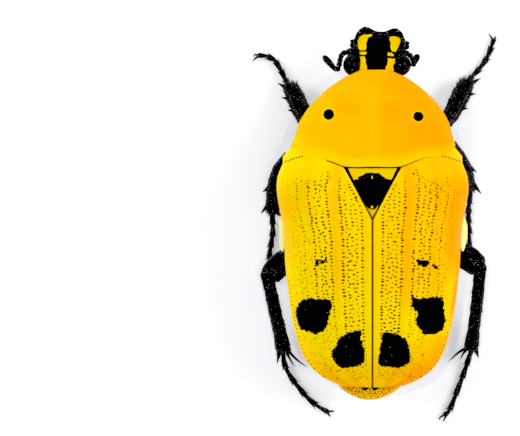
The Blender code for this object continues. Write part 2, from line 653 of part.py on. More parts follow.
def thorax():
    """Middle and hind thorax: low in front, full over the breast, raised over the hip plates."""
    step = 0.05
    rise = MESO_TOP - MESO_SIDE
    rings = [trunk_ring(MESO_FRONT, MESO_WIDTH - 0.7, MESO_SIDE, rise, MESO_BELLY + 0.2, MESO_POWER),
             trunk_ring(MESO_FRONT + 0.4, MESO_WIDTH, MESO_SIDE, rise, MESO_BELLY, MESO_POWER),
             trunk_ring(THORAX_STEP - step, MESO_WIDTH, MESO_SIDE, rise, MESO_BELLY, MESO_POWER)]
    for y in (THORAX_STEP, -3.55, -3.1, -2.75, -2.3, -1.7, COXA_FRONT - GAP):
        half, side, rise = under_wing_cases(y)
        rings.append(trunk_ring(y, half - 0.1, side, rise, profile(BREAST, y)))
    for y in (COXA_FRONT - GAP + step, 0.4, 1.2, THORAX_END):
        half, side, rise = under_wing_cases(y)
        rings.append(trunk_ring(y, half - 0.1, side, rise, COXA_ROOF, SECTION_POWER, COXA_POWER))
    body = loft("thorax", rings)
    keel = tube("keel", route(KEEL_PATH, len(KEEL_HALF) - 1), KEEL_HALF, KEEL_THICK, 8)
    return combine(body, [keel], "UNION")


def coxa_roof(x, y):
    """Height of the thorax above the hip plate."""
    half, side, _ = under_wing_cases(y)
    return side - (side - COXA_ROOF) * dome(x, half - 0.1, COXA_POWER)


def hip_plate(side, sign):
    """One broad hind hip plate, from the middle of the belly to its end beyond the wing case."""
    top, bottom = [], []
    for i in range(COXA_ROWS + 1):
        v = i / COXA_ROWS
        upper, lower = [], []
        for j in range(COXA_COLUMNS + 1):
            x = COXA_INNER + (COXA_REACH - COXA_INNER) * j / COXA_COLUMNS
            front = profile(COXA_FRONT_LINE, x)
            y = front + (profile(COXA_REAR_LINE, x) - front) * v
            out = max(0.0, (x - COXA_OUTER) / (COXA_REACH - COXA_OUTER))
            bulge = 1.0 - math.sin(math.pi * v)
            upper.append((sign * x, y, min(COXA_TOP_MAX, coxa_roof(x, y) - GAP) - COXA_FALL * out * out))
            lower.append((sign * x, y, profile(COXA_FLOOR, x) + 0.12 * bulge))
        top.append(upper)
        bottom.append(lower)
    return slab("coxa_hind_" + side, top, bottom)


def abdomen():
    """The belly behind the hip plates, with a small step at the rear of each plate."""
    rings = []
    for start, end in zip(STERNITES, STERNITES[1:]):
        for y, grown in ((start, 0.0), ((start + end) / 2, 0.4), (end - 0.08, 1.0)):
            half, side, rise = under_wing_cases(y)
            tight = 0.35 if y < 3.0 else 0.1
            belly = profile(ABDOMEN_BELLY, y) - STERNITE_STEP * grown
            rings.append(trunk_ring(y, half - tight + 0.06 * grown, side, rise, belly))
    rings.append(trunk_ring(*ABDOMEN_TAIL))
    return loft("abdomen", rings)


def pygidium():
    """The arched end plate below the tips of the wing cases."""
    top, bottom = [], []
    rows, columns = 12, 10
    for i in range(rows + 1):
        v = i / rows
        y = profile([(key, y) for key, y, _ in PYGIDIUM_LINE], v)
        z = profile([(key, z) for key, _, z in PYGIDIUM_LINE], v)
        upper, lower = [], []
        for j in range(columns + 1):
            x = (2 * j / columns - 1) * profile(PYGIDIUM_HALF, v)
            back = PYGIDIUM_BEND * x * x
            upper.append((x, y - back, z))
            lower.append((x, min(PYGIDIUM_INNER, y - back - PYGIDIUM_RIM), z + 0.3 * v))
        top.append(upper)
        bottom.append(lower)
    return slab("pygidium", top, bottom)


def prosternum():
    """The underside of the fore body, between the shield above and the fore hips below."""
    rings = []
    for y, belly in PROSTERNUM_BELLY:
        half = profile(PRONOTUM_WIDTH, y) - PROSTERNUM_INSET
        ring = trunk_ring(y, half, PRONOTUM_FLOOR - GAP, 0.0, belly, 2.4, 2.2)
        rings.append([(x + pronotum_axis(y), y_there, z) for x, y_there, z in ring])
    return loft("prosternum", rings)


def side_plate(side, sign):
    """The mesepimeron: a plate on the flank whose upper corner shows between shield and wing case."""
    rings = []
    for z, inner, outer, front, rear in SIDE_PLATE:
        middle = (inner + outer) / 2
        ring = [(outer, front + 0.25, z), (outer, rear, z), (middle, rear, z), (inner, rear - 0.1, z),
                (inner, front + 0.3, z), (middle, front, z)]
        rings.append([(sign * x, y, height) for x, y, height in ring])
    return loft("mesepimeron_" + side, rings)


def femur(name, leg):
    """Hip and thigh of one leg, ending short of the knee."""
    path = route(leg["femur"], 8)
    last = len(leg["femur_half"]) - 1
    halves = [profile([(i / last, half) for i, half in enumerate(leg["femur_half"])], k / 8) for k in range(9)]
    end = path[-1]
    path[-1] = path[-2].lerp(end, 0.45)
    thicks = [FEMUR_THICK * (0.85 + 0.15 * math.sin(math.pi * k / 8)) for k in range(9)]
    halves[-1] *= 0.8
    thicks[-1] *= 0.7
    thigh = tube(name, path, halves, thicks, 10)
    hip = ball("hip", *leg["hip"])
    return combine(thigh, [hip], "UNION")


def tibia(name, leg):
    """Shin of one leg with its outer teeth and the spurs at its end."""
    count = 10
    path = route(leg["tibia"], count)
    last = len(leg["tibia_half"]) - 1
    halves = [profile([(i / last, half) for i, half in enumerate(leg["tibia_half"])], k / count)
              for k in range(count + 1)]
    thicks = [TIBIA_THICK * (0.85 + 0.2 * math.sin(math.pi * k / count)) for k in range(count + 1)]
    shin = tube(name, path, halves, thicks, 8)
    pieces = [spike("tooth", base, tip, TOOTH_RADIUS) for base, tip in leg["teeth"]]
    pieces += [spike("spur", base, tip, SPUR_RADIUS) for base, tip in leg["spurs"]]
    return combine(shin, pieces, "UNION")


def tarsus(name, leg, chance):
    """Foot of one leg: five flared joints with small spines, and two curved claws."""
    parts = 3
    path = route(leg["tarsus"], TARSOMERES * parts)
    flare = (TARSUS_THIN, TARSUS_THIN * 0.96, TARSUS_WIDE)
    halves = [flare[i % parts] for i in range(len(path))]
    foot = tube(name, path, halves, halves, 6)
    pieces = []
    for joint in range(1, TARSOMERES):
        here = path[joint * parts - 1]
        along = (path[joint * parts] - path[joint * parts - 1]).normalized()
        across = along.cross(Vector((0, 0, 1))).normalized()
        for side in (-1, 1):
            lean = 0.75 + 0.2 * chance.random()
            tip = here + (across * side * lean + along) * SPINE_LENGTH + Vector((0, 0, 0.02))
            pieces.append(spike("spine", here, tip, SPINE_RADIUS))
    wrist = path[-2]
    for tip in leg["claws"]:
        middle = wrist.lerp(Vector(tip), 0.6) + Vector((0, 0, 0.12))
        claw_path = [wrist, middle, Vector(tip)]
        sizes = [CLAW_RADIUS, CLAW_RADIUS * 0.8, CLAW_RADIUS * 0.25]
        pieces.append(tube("claw", claw_path, sizes, sizes, 5))
    combine(foot, pieces, "UNION")
    stand_on_floor(foot)
    return foot


def main():
    """Build every part of the beetle."""
    for old in list(bpy.data.objects):
        bpy.data.objects.remove(old)
    chance = random.Random(SEED)
    paint(head(), BLACK, 0.3)
    paint(mouthparts(), BLACK, 0.35)
    paint(pronotum(), YELLOW, 0.28)
    paint(prosternum(), BLACK, 0.35)
    paint(scutellum(), BLACK, 0.28)
    paint(thorax(), BLACK, 0.35)
    paint(abdomen(), BLACK, 0.35)
    paint(pygidium(), YELLOW, 0.3)
    for side, sign in (("left", 1), ("right", -1)):
        centre, halves = EYES[side]
        paint(ball("eye_" + side, centre, halves, 9, 16), BROWN, 0.15)
        paint(feeler(side), BLACK, 0.35)
        paint(elytron(side, sign), YELLOW, 0.28)
        paint(side_plate(side, sign), YELLOW, 0.3)
        paint(hip_plate(side, sign), PALE, 0.35)
    for place, leg in LEGS.items():
        paint(femur("leg_" + place + "_femur", leg), BLACK, 0.3)
        paint(tibia("leg_" + place + "_tibia", leg), BLACK, 0.3)
        paint(tarsus("leg_" + place + "_tarsus", leg, chance), BLACK, 0.3)


if __name__ == "__main__":
    main()
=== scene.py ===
"""Yellow flower beetle as a still museum model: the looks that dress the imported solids.

Sizes are in millimetres unless a name says otherwise, and are turned to metres where a mesh is made. The
head looks along -Y, the beetle's left side is +X and its feet stand on z = 0. Every plate of the shell is a
grid primitive laid on a surface function, welded shut and pitted; legs and feelers are grids wrapped round a
path.
"""
import logging
import math
from dataclasses import dataclass, field
from enum import Enum
from typing import Callable

import bpy
import numpy as np
from mathutils import Matrix, Vector, kdtree

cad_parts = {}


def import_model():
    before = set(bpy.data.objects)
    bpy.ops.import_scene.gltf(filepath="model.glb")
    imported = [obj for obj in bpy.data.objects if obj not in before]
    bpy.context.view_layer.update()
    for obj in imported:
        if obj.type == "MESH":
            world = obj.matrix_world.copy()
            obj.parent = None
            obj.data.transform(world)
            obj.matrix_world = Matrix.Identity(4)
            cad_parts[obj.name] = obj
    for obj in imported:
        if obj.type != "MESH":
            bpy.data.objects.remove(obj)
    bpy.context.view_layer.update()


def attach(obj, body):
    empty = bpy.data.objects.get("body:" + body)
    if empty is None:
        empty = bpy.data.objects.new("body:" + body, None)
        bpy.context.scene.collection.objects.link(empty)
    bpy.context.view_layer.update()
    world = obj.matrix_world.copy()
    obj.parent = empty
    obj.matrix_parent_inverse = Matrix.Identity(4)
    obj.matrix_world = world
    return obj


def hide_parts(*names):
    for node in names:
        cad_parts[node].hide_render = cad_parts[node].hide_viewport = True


LOG = logging.getLogger("beetle")
MM = 0.001
# Gap between a wing case and its neighbours, in millimetres.
SEAM = 0.04
UP = (0.0, 0.0, 1.0)
# Refractive index of hardened chitin.
CHITIN_IOR = 1.56
# Steps of the path along each joint of a foot.
JOINT_STEPS = 6
Array = np.ndarray
# Takes u and v of a grid, each from 0 to 1, and gives the places of its points in millimetres.
Place = Callable[[Array, Array], Array]
Pairs = tuple[tuple[float, float], ...]
Point = tuple[float, float, float]
Outline = tuple[tuple[float, float], ...]
Piece = bpy.types.Object
Finish = bpy.types.Material
Tree = bpy.types.NodeTree
Socket = bpy.types.NodeSocket
Settings = dict[str | int, object]


class Slot(Enum):
    """Material slots of the record."""

    YELLOW = "cuticle_yellow"
    BLACK = "cuticle_black"
    PALE = "cuticle_pale"
    LEG = "leg_black"
    EYE = "eye"


class Side(Enum):
    """The two sides of the body, with the sign of x."""

    LEFT = 1
    RIGHT = -1

    @property
    def word(self) -> str:
        """The side as it stands in a node's name."""
        return self.name.lower()


def along(pairs: Pairs, keys: Array | float) -> Array:
    """Values on a smooth curve through pairs.

    Args:
        pairs: Keys in rising order, each with its value.
        keys: Where the curve is read.

    Returns:
        One value for each key.
    """
    places, values = np.array(pairs, dtype=float).T
    keys = np.clip(keys, places[0], places[-1])
    before = np.maximum(np.arange(len(places)) - 1, 0)
    after = np.minimum(np.arange(len(places)) + 1, len(places) - 1)
    slopes = (values[after] - values[before]) / (places[after] - places[before])
    index = np.clip(np.searchsorted(places, keys, side="right") - 1, 0, len(places) - 2)
    span = places[index + 1] - places[index]
    t = (keys - places[index]) / span
    return (values[index] * (1 + 2 * t) * (1 - t) ** 2 + values[index + 1] * t * t * (3 - 2 * t)
            + span * (slopes[index] * t * (1 - t) ** 2 - slopes[index + 1] * t * t * (1 - t)))


def dome(offset: Array | float, half: Array | float, power: float) -> Array:
    """Height from 1 in the middle to 0 at the edge of a rounded-square arch."""
    return np.maximum(0.0, 1.0 - np.minimum(1.0, np.abs(offset) / half) ** power) ** (1.0 / power)


def ease(low: float, high: float, value: Array | float) -> Array:
    """Smooth step from 0 at low to 1 at high."""
    t = np.clip((value - low) / (high - low), 0.0, 1.0)
    return t * t * (3 - 2 * t)


def bell(value: Array | float, centre: float, width: float) -> Array:
    """A smooth bump of height 1."""
    return np.exp(-((value - centre) / width) ** 2)


def hill(x: Array, y: Array, centre_x: float, centre_y: float, radius: float, height: float) -> Array:
    """A smooth round mound."""
    return height * np.exp(-((x - centre_x) ** 2 + (y - centre_y) ** 2) / radius ** 2)


def border(x: Array, y: Array, outline: Outline) -> Array:
    """Signed distance to a closed outline.

    Args:
        x: First coordinates.
        y: Second coordinates.
        outline: The corners in order.

    Returns:
        Distance in the outline's unit, negative inside.
    """
    best = np.full(x.shape, np.inf)
    inside = np.zeros(x.shape, dtype=bool)
    for (ax, ay), (bx, by) in zip(outline, outline[1:] + outline[:1]):
        run, rise = bx - ax, by - ay
        t = np.clip(((x - ax) * run + (y - ay) * rise) / (run * run + rise * rise), 0.0, 1.0)
        best = np.minimum(best, np.hypot(x - ax - t * run, y - ay - t * rise))
        level = rise if abs(rise) > 1e-9 else 1e-9
        inside ^= ((ay > y) != (by > y)) & (x < run * (y - ay) / level + ax)
    return np.where(inside, -best, best)


def nearest_border(x: Array, y: Array, outlines: tuple[Outline, ...]) -> Array:
    """Signed distance to the nearest of several outlines."""
    return np.minimum.reduce([border(x, y, outline) for outline in outlines])


def shut(u: Array) -> Array:
    """Put the last column of a grid on its first, so that the ring closes."""
    return np.where(u > 1 - 1e-6, 0.0, u)


def unit(way: Array) -> Array:
    """The same way with a length of 1."""
    return way / np.linalg.norm(way)


def path(points: tuple[Point, ...], v: Array) -> Array:
    """Points on a smooth curve through the given ones, for v from 0 to 1."""
    keys = v * (len(points) - 1)
    return np.stack([along(tuple((i, p[axis]) for i, p in enumerate(points)), keys)
                     for axis in range(3)], axis=-1)


def random_of(seed: int) -> np.random.Generator:
    """A seeded source of random numbers."""
    return np.random.default_rng(seed)


# Meshes


def read(piece: Piece) -> Array:
    """Places of a piece's points in millimetres."""
    flat = np.empty(len(piece.data.vertices) * 3, dtype=np.float32)
    piece.data.vertices.foreach_get("co", flat)
    return flat.reshape(-1, 3).astype(float) / MM


def write(piece: Piece, points: Array) -> None:
    """Set the places of a piece's points in millimetres."""
    piece.data.vertices.foreach_set("co", (points * MM).astype(np.float32).ravel())
    piece.data.update()


def normals(piece: Piece) -> Array:
    """Direction in which each point of a piece faces."""
    flat = np.empty(len(piece.data.vertices) * 3, dtype=np.float32)
    piece.data.vertices.foreach_get("normal", flat)
    return flat.reshape(-1, 3).astype(float)


def note(piece: Piece, name: str, values: Array) -> None:
    """Keep one number for each point of a piece, which its finish reads by name."""
    layer = piece.data.attributes.get(name) or piece.data.attributes.new(name, "FLOAT", "POINT")
    layer.data.foreach_set("value", np.asarray(values, dtype=np.float32))


def noted(piece: Piece, name: str) -> Array:
    """The numbers that note kept."""
    flat = np.empty(len(piece.data.vertices), dtype=np.float32)
    piece.data.attributes[name].data.foreach_get("value", flat)
    return flat.astype(float)


def select_only(piece: Piece) -> None:
    """Make one object the selected and active one."""
    bpy.ops.object.select_all(action="DESELECT")
    piece.select_set(True)
    bpy.context.view_layer.objects.active = piece


def close(piece: Piece) -> None:
    """Weld the doubled points of a piece, fill what stays open and turn its faces outwards.

    Args:
        piece: The piece.
    """
    select_only(piece)
    bpy.ops.object.mode_set(mode="EDIT")
    bpy.ops.mesh.select_all(action="SELECT")
    bpy.ops.mesh.remove_doubles(threshold=2e-6)
    bpy.ops.mesh.fill_holes(sides=0)
    bpy.ops.mesh.select_all(action="SELECT")
    bpy.ops.mesh.normals_make_consistent(inside=False)
    bpy.ops.object.mode_set(mode="OBJECT")


def lay(name: str, columns: int, rows: int, place: Place) -> Piece:
    """Lay a grid primitive on a surface and close it.

    Args:
        name: The piece's name.
        columns: Faces along u.
        rows: Faces along v.
        place: Turns u and v, each from 0 to 1, into places in millimetres.

    Returns:
        The closed piece, which keeps u and v as numbers on its points.
    """
    bpy.ops.object.select_all(action="DESELECT")
    bpy.ops.mesh.primitive_grid_add(x_subdivisions=columns, y_subdivisions=rows, size=2.0)
    piece = bpy.context.object
    piece.name = name
    piece.data.name = name
    while piece.data.uv_layers:
        piece.data.uv_layers.remove(piece.data.uv_layers[0])
    flat = read(piece) * MM
    u = np.clip((flat[:, 0] + 1) / 2, 0.0, 1.0)
    v = np.clip((flat[:, 1] + 1) / 2, 0.0, 1.0)
    note(piece, "u", u)
    note(piece, "v", v)
    write(piece, place(u, v))
    close(piece)
    return piece


def press(piece: Piece, amounts: Array) -> None:
    """Move each point along the way it faces, outwards for an amount above 0."""
    write(piece, read(piece) + normals(piece) * amounts[:, None])


def near(points: Array, centres: Array) -> tuple[Array, Array]:
    """Distance from each point to the nearest centre, and that centre's index.

    Args:
        points: Places to search from.
        centres: Places to find.

    Returns:
        For each point, the distance to the nearest centre and that centre's index.
    """
    tree = kdtree.KDTree(len(centres))
    for index, centre in enumerate(centres):
        tree.insert(centre, index)
    tree.balance()
    found = [tree.find(point) for point in points]
    return np.array([item[2] for item in found]), np.array([item[1] for item in found])


def pit(piece: Piece, centres: Array, radii: Array, depth: float, broad: float = 1.0) -> None:
    """Press round punctures into a piece and note how deep each point lies in one.

    Args:
        piece: The piece, with its faces turned outwards.
        centres: Places of the punctures in millimetres.
        radii: Radius of each puncture.
        depth: Depth of a puncture of the mean radius.
        broad: How much broader than long the punctures are.
    """
    squeeze = np.array((1 / broad, 1.0, 1.0))
    distance, index = near(read(piece) * squeeze, centres * squeeze)
    radius = radii[index]
    inside = np.exp(-(distance / radius) ** 2 * 1.6)
    press(piece, -depth * radius / radii.mean() * inside)
    note(piece, "pit", 1.25 - distance / radius)


def scatter(piece: Piece, count: int, spacing: float, seed: int, weight: Array | None = None) -> Array:
    """Random points of a piece that keep apart.

    Args:
        piece: The piece.
        count: How many are tried.
        spacing: Least distance between two that are kept.
        seed: Seed of the draw.
        weight: How likely each point of the piece is, even where it is missing.

    Returns:
        The places in millimetres.
    """
    points = read(piece)
    chance = None if weight is None else weight / weight.sum()
    tried = points[random_of(seed).choice(len(points), size=count, p=chance)]
    cells: dict[tuple[int, int, int], list[Array]] = {}
    kept = []
    for point in tried:
        cell = tuple(int(c) for c in np.floor(point / spacing))
        around = [p for dx in (-1, 0, 1) for dy in (-1, 0, 1) for dz in (-1, 0, 1)
                  for p in cells.get((cell[0] + dx, cell[1] + dy, cell[2] + dz), ())]
        if all(np.sum((point - p) ** 2) > spacing ** 2 for p in around):
            cells.setdefault(cell, []).append(point)
            kept.append(point)
    return np.array(kept)


def join(pieces: list[Piece], name: str) -> Piece:
    """Join several pieces into one of the given name.

    Args:
        pieces: The pieces, with the one that takes in the others first.
        name: The new name.

    Returns:
        The joined piece.
    """
    bpy.ops.object.select_all(action="DESELECT")
    for piece in pieces:
        piece.select_set(True)
    bpy.context.view_layer.objects.active = pieces[0]
    if len(pieces) > 1:
        bpy.ops.object.join()
    joined = bpy.context.view_layer.objects.active
    joined.name = name
    joined.data.name = name
    return joined


def smooth_shade(piece: Piece) -> None:
    """Shade a piece smooth, except over sharp edges."""
    select_only(piece)
    bpy.ops.object.shade_smooth_by_angle(angle=math.radians(50.0))


def wrap(name: str, points: tuple[Point, ...], half: Callable[[Array], Array],
         thick: Callable[[Array], Array], around: int, steps: int,
         squareness: float = 2.0) -> Piece:
    """Wrap a grid round a path as a closed limb.

    Args:
        name: The piece's name.
        points: The path's points.
        half: Half width for v from 0 to 1, which falls to 0 where an end is pointed.
        thick: Half thickness for v from 0 to 1.
        around: Faces round the limb.
        steps: Faces along the limb.
        squareness: 2 for a round section, more for a squarer one.

    Returns:
        The closed limb.
    """
    def place(u: Array, v: Array) -> Array:
        """Places of the grid's points."""
        ahead = path(points, np.minimum(v + 0.01, 1.0)) - path(points, np.maximum(v - 0.01, 0.0))
        ahead /= np.linalg.norm(ahead, axis=1)[:, None]
        across = np.cross(ahead, np.array(UP))
        across /= np.linalg.norm(across, axis=1)[:, None]
        lift = np.cross(across, ahead)
        turn = shut(u) * math.tau
        power = 2.0 / squareness
        c = np.sign(np.cos(turn)) * np.abs(np.cos(turn)) ** power
        s = np.sign(np.sin(turn)) * np.abs(np.sin(turn)) ** power
        return path(points, v) + across * (half(v) * c)[:, None] + lift * (thick(v) * s)[:, None]

    return lay(name, around, steps, place)


def round_ends(v: Array, start: float, end: float) -> Array:
    """Factor that rounds off both ends of a limb, each over a share of its length."""
    first = np.clip(1 - v / max(start, 1e-6), 0.0, 1.0)
    last = np.clip(1 - (1 - v) / max(end, 1e-6), 0.0, 1.0)
    return np.sqrt(np.maximum(0.0, 1 - first ** 2)) * np.sqrt(np.maximum(0.0, 1 - last ** 2))


def ellipsoid(name: str, centre: Point, halves: Point, segments: int = 48, rings: int = 32) -> Piece:
    """A round body from a sphere primitive, stretched in edit mode and with its place in its mesh.

    Args:
        name: The piece's name.
        centre: Its centre in millimetres.
        halves: Its half sizes along x, y and z in millimetres.
        segments: Faces round it.
        rings: Faces from pole to pole.

    Returns:
        The piece.
    """
    bpy.ops.object.select_all(action="DESELECT")
    bpy.ops.mesh.primitive_uv_sphere_add(segments=segments, ring_count=rings, radius=MM)
    piece = bpy.context.object
    piece.name = name
    bpy.ops.object.mode_set(mode="EDIT")
    bpy.ops.mesh.select_all(action="SELECT")
    bpy.ops.transform.resize(value=halves)
    bpy.ops.transform.translate(value=tuple(c * MM for c in centre))
    bpy.ops.object.mode_set(mode="OBJECT")
    while piece.data.uv_layers:
        piece.data.uv_layers.remove(piece.data.uv_layers[0])
    return piece


def thorn(name: str, base: Point, tip: Point, radius: float, bow: float = 0.0, steps: int = 10,
          around: int = 10, taper: float = 0.75) -> Piece:
    """A tapered tooth, spur or claw from base to tip, bowed to the side by a share of its length.

    Args:
        name: The piece's name.
        base: Middle of its root.
        tip: Its point.
        radius: Half thickness at its root.
        bow: Share of its length that it bows by.
        steps: Faces along it.
        around: Faces round it.
        taper: Below 1 for a stout thorn, above 1 for a slender one.

    Returns:
        The piece.
    """
    start, end = np.array(base, dtype=float), np.array(tip, dtype=float)
    run = end - start
    side = np.cross(run, UP)
    side /= max(np.linalg.norm(side), 1e-9)
    middle = start + run * 0.5 + side * bow * np.linalg.norm(run)
    points = (tuple(start - run * 0.08), tuple(middle), tuple(end))

    def girth(v: Array) -> Array:
        """Half thickness for v from 0 to 1."""
        return radius * ((1 - v) ** taper * 0.8 + (1 - v) ** 0.6 * 0.2) * round_ends(v, 0.12, 0.0)

    return wrap(name, points, girth, girth, around, steps)


@dataclass
class Coat:
    """Stiff hairs on a skin: bent cones, closed at the root, each with its own patch of the coat's map."""

    skin: Piece
    toward: Point
    count: int
    length: float
    radius: float
    lean: float = 0.6
    tile: tuple[float, float, float, float] = (0.0, 0.0, 1.0, 1.0)
    seed: int = 1
    sides: int = 5
    rings: int = 4

    def build(self, name: str, weight: Array | None = None) -> Piece:
        """Stamp the hairs as one table, because a primitive for each would take minutes.

        Args:
            name: The piece's name.
            weight: How likely each point of the skin carries a hair, even where it is missing.

        Returns:
            The hairs as one piece.
        """
        chance = random_of(self.seed)
        points, facing = read(self.skin), normals(self.skin)
        odds = None if weight is None else weight / weight.sum()
        index = chance.choice(len(points), size=self.count, p=odds)
        root, out = points[index], facing[index]
        ahead = np.array(self.toward, dtype=float) / np.linalg.norm(self.toward)
        way = out * (1 - self.lean) + ahead * self.lean + chance.normal(0, 0.12, (self.count, 3))
        way /= np.linalg.norm(way, axis=1)[:, None]
        side = np.cross(way, ahead + np.array((0.013, 0.021, 0.034)))
        side /= np.linalg.norm(side, axis=1)[:, None]
        third = np.cross(way, side)
        long = self.length * chance.uniform(0.55, 1.0, self.count)
        share = np.linspace(0.0, 1.0, self.rings + 1)
        turn = np.arange(self.sides) * math.tau / self.sides
        stem = ((root - out * 0.02)[:, None, :] + way[:, None, :] * (long[:, None] * share)[:, :, None]
                + ahead * (0.3 * long[:, None] * share ** 2)[:, :, None])
        girth = self.radius * (1 - share[:-1]) ** 0.7
        ring = (stem[:, :-1, None, :] + (side[:, None, None, :] * np.cos(turn)[None, None, :, None]
                                         + third[:, None, None, :] * np.sin(turn)[None, None, :, None])
                * girth[None, :, None, None])
        each = self.rings * self.sides + 1
        body = np.concatenate([ring.reshape(self.count, -1, 3), stem[:, -1:, :]], axis=1).reshape(-1, 3)
        faces = [tuple(reversed(range(self.sides)))]
        for k in range(self.rings):
            for j in range(self.sides):
                a, b = k * self.sides + j, k * self.sides + (j + 1) % self.sides
                faces.append((a, b, b + self.sides, a + self.sides) if k < self.rings - 1
                             else (a, b, each - 1))
        made = bpy.data.meshes.new(name)
        made.from_pydata((body * MM).tolist(), [], [tuple(c + each * i for c in face)
                                                    for i in range(self.count) for face in faces])
        piece = bpy.data.objects.new(name, made)
        bpy.context.scene.collection.objects.link(piece)
        self.map(piece, index, share, turn)
        return piece

    def map(self, piece: Piece, index: Array, share: Array, turn: Array) -> None:
        """Give each hair a patch 0.003 across where its root lies on the skin's own unwrap.

        Args:
            piece: The hairs.
            index: Point of the skin that each hair stands on.
            share: Share of a hair's length at each of its rings.
            turn: Angle of each corner of a ring.
        """
        left, low, wide, high = self.tile
        u, v = noted(self.skin, "u")[index], noted(self.skin, "v")[index]
        spot = np.stack([left + wide * u, low + high * v], axis=-1)
        half = 0.0015
        local = [(half * math.cos(t) * (1 - s), half * math.sin(t) * (1 - s))
                 for s in share[:-1] for t in turn]
        local.append((0.0, 0.0))
        flat = (spot[:, None, :] + np.array(local)[None, :, :]).reshape(-1, 2)
        layer = piece.data.uv_layers.new(name="OFBake")
        corner = np.empty(len(piece.data.loops), dtype=np.int32)
        piece.data.loops.foreach_get("vertex_index", corner)
        layer.data.foreach_set("uv", np.clip(flat[corner], 0.0, 1.0).astype(np.float32).ravel())


# Finishes


def tint(code: str) -> tuple[float, float, float, float]:
    """Linear colour of an sRGB hex value."""
    parts = [int(code[i:i + 2], 16) / 255 for i in (1, 3, 5)]
    linear = [c / 12.92 if c <= 0.04045 else ((c + 0.055) / 1.055) ** 2.4 for c in parts]
    return (*linear, 1.0)


def feed(tree: Tree, node: bpy.types.Node, settings: Settings) -> bpy.types.Node:
    """Set up one node.

    Args:
        tree: The node tree.
        node: The node.
        settings: Properties by name, and inputs by name or number, with a value or the socket that feeds it.

    Returns:
        The node.
    """
    for key, value in settings.items():
        if isinstance(value, Socket):
            tree.links.new(value, node.inputs[key])
        elif isinstance(key, str) and hasattr(node, key):
            setattr(node, key, value)
        else:
            node.inputs[key].default_value = value
    return node


def add(tree: Tree, kind: str, settings: Settings | None = None) -> bpy.types.Node:
    """Add one node of a kind and set it up."""
    return feed(tree, tree.nodes.new(kind), settings or {})


def per_mm(size: float) -> float:
    """Texture scale that gives features of a size in millimetres."""
    return 1.0 / (size * MM)


def blank(name: str) -> tuple[Finish, Tree, bpy.types.Node, Socket]:
    """Begin a material.

    Args:
        name: The material's name.

    Returns:
        The material, its node tree, its shader and the socket that gives each point's place in its object.
    """
    made = bpy.data.materials.new(name)
    made.use_nodes = True
    tree = made.node_tree
    return made, tree, tree.nodes["Principled BSDF"], add(tree, "ShaderNodeTexCoord").outputs["Object"]


def noise(tree: Tree, place: Socket, size_mm: float, detail: float, roughness: float = 0.5) -> Socket:
    """Cloudy noise from 0 to 1 with features of a size in millimetres."""
    return add(tree, "ShaderNodeTexNoise", {"Scale": per_mm(size_mm), "Detail": detail,
                                            "Roughness": roughness, "Vector": place}).outputs["Fac"]


def cells(tree: Tree, place: Socket, gap_mm: float, jumble: float = 1.0) -> Socket:
    """Distance to the nearest of many centres, as a share of the gap between them."""
    return add(tree, "ShaderNodeTexVoronoi", {"Scale": per_mm(gap_mm), "Randomness": jumble,
                                              "Vector": place}).outputs[0]


def remap(tree: Tree, value: Socket, low: float, high: float, to_low: float = 0.0,
          to_high: float = 1.0) -> Socket:
    """Turn a span of values into another one, held at both ends."""
    return add(tree, "ShaderNodeMapRange", {"From Min": low, "From Max": high, "To Min": to_low,
                                            "To Max": to_high, "Value": value}).outputs[0]


def reckon(tree: Tree, operation: str, *values: Socket | float, clamp: bool = False) -> Socket:
    """Reckon with sockets and numbers."""
    return add(tree, "ShaderNodeMath", {"operation": operation, "use_clamp": clamp,
                                        **dict(enumerate(values))}).outputs[0]


def blend(tree: Tree, share: Socket, low: Socket | str, high: Socket | str) -> Socket:
    """Blend two colours, each a socket or a hex value, with the share of the second from 0 to 1."""
    ends = [tint(colour) if isinstance(colour, str) else colour for colour in (low, high)]
    return add(tree, "ShaderNodeMix", {"data_type": "RGBA", 0: share, 6: ends[0], 7: ends[1]}).outputs[2]


def specks(tree: Tree, place: Socket, gap_mm: float, rim: float, core: float) -> Socket:
    """Small round dots, 0 outside the rim and 1 inside the core, both shares of the gap between dots."""
    return remap(tree, cells(tree, place, gap_mm), rim, core)


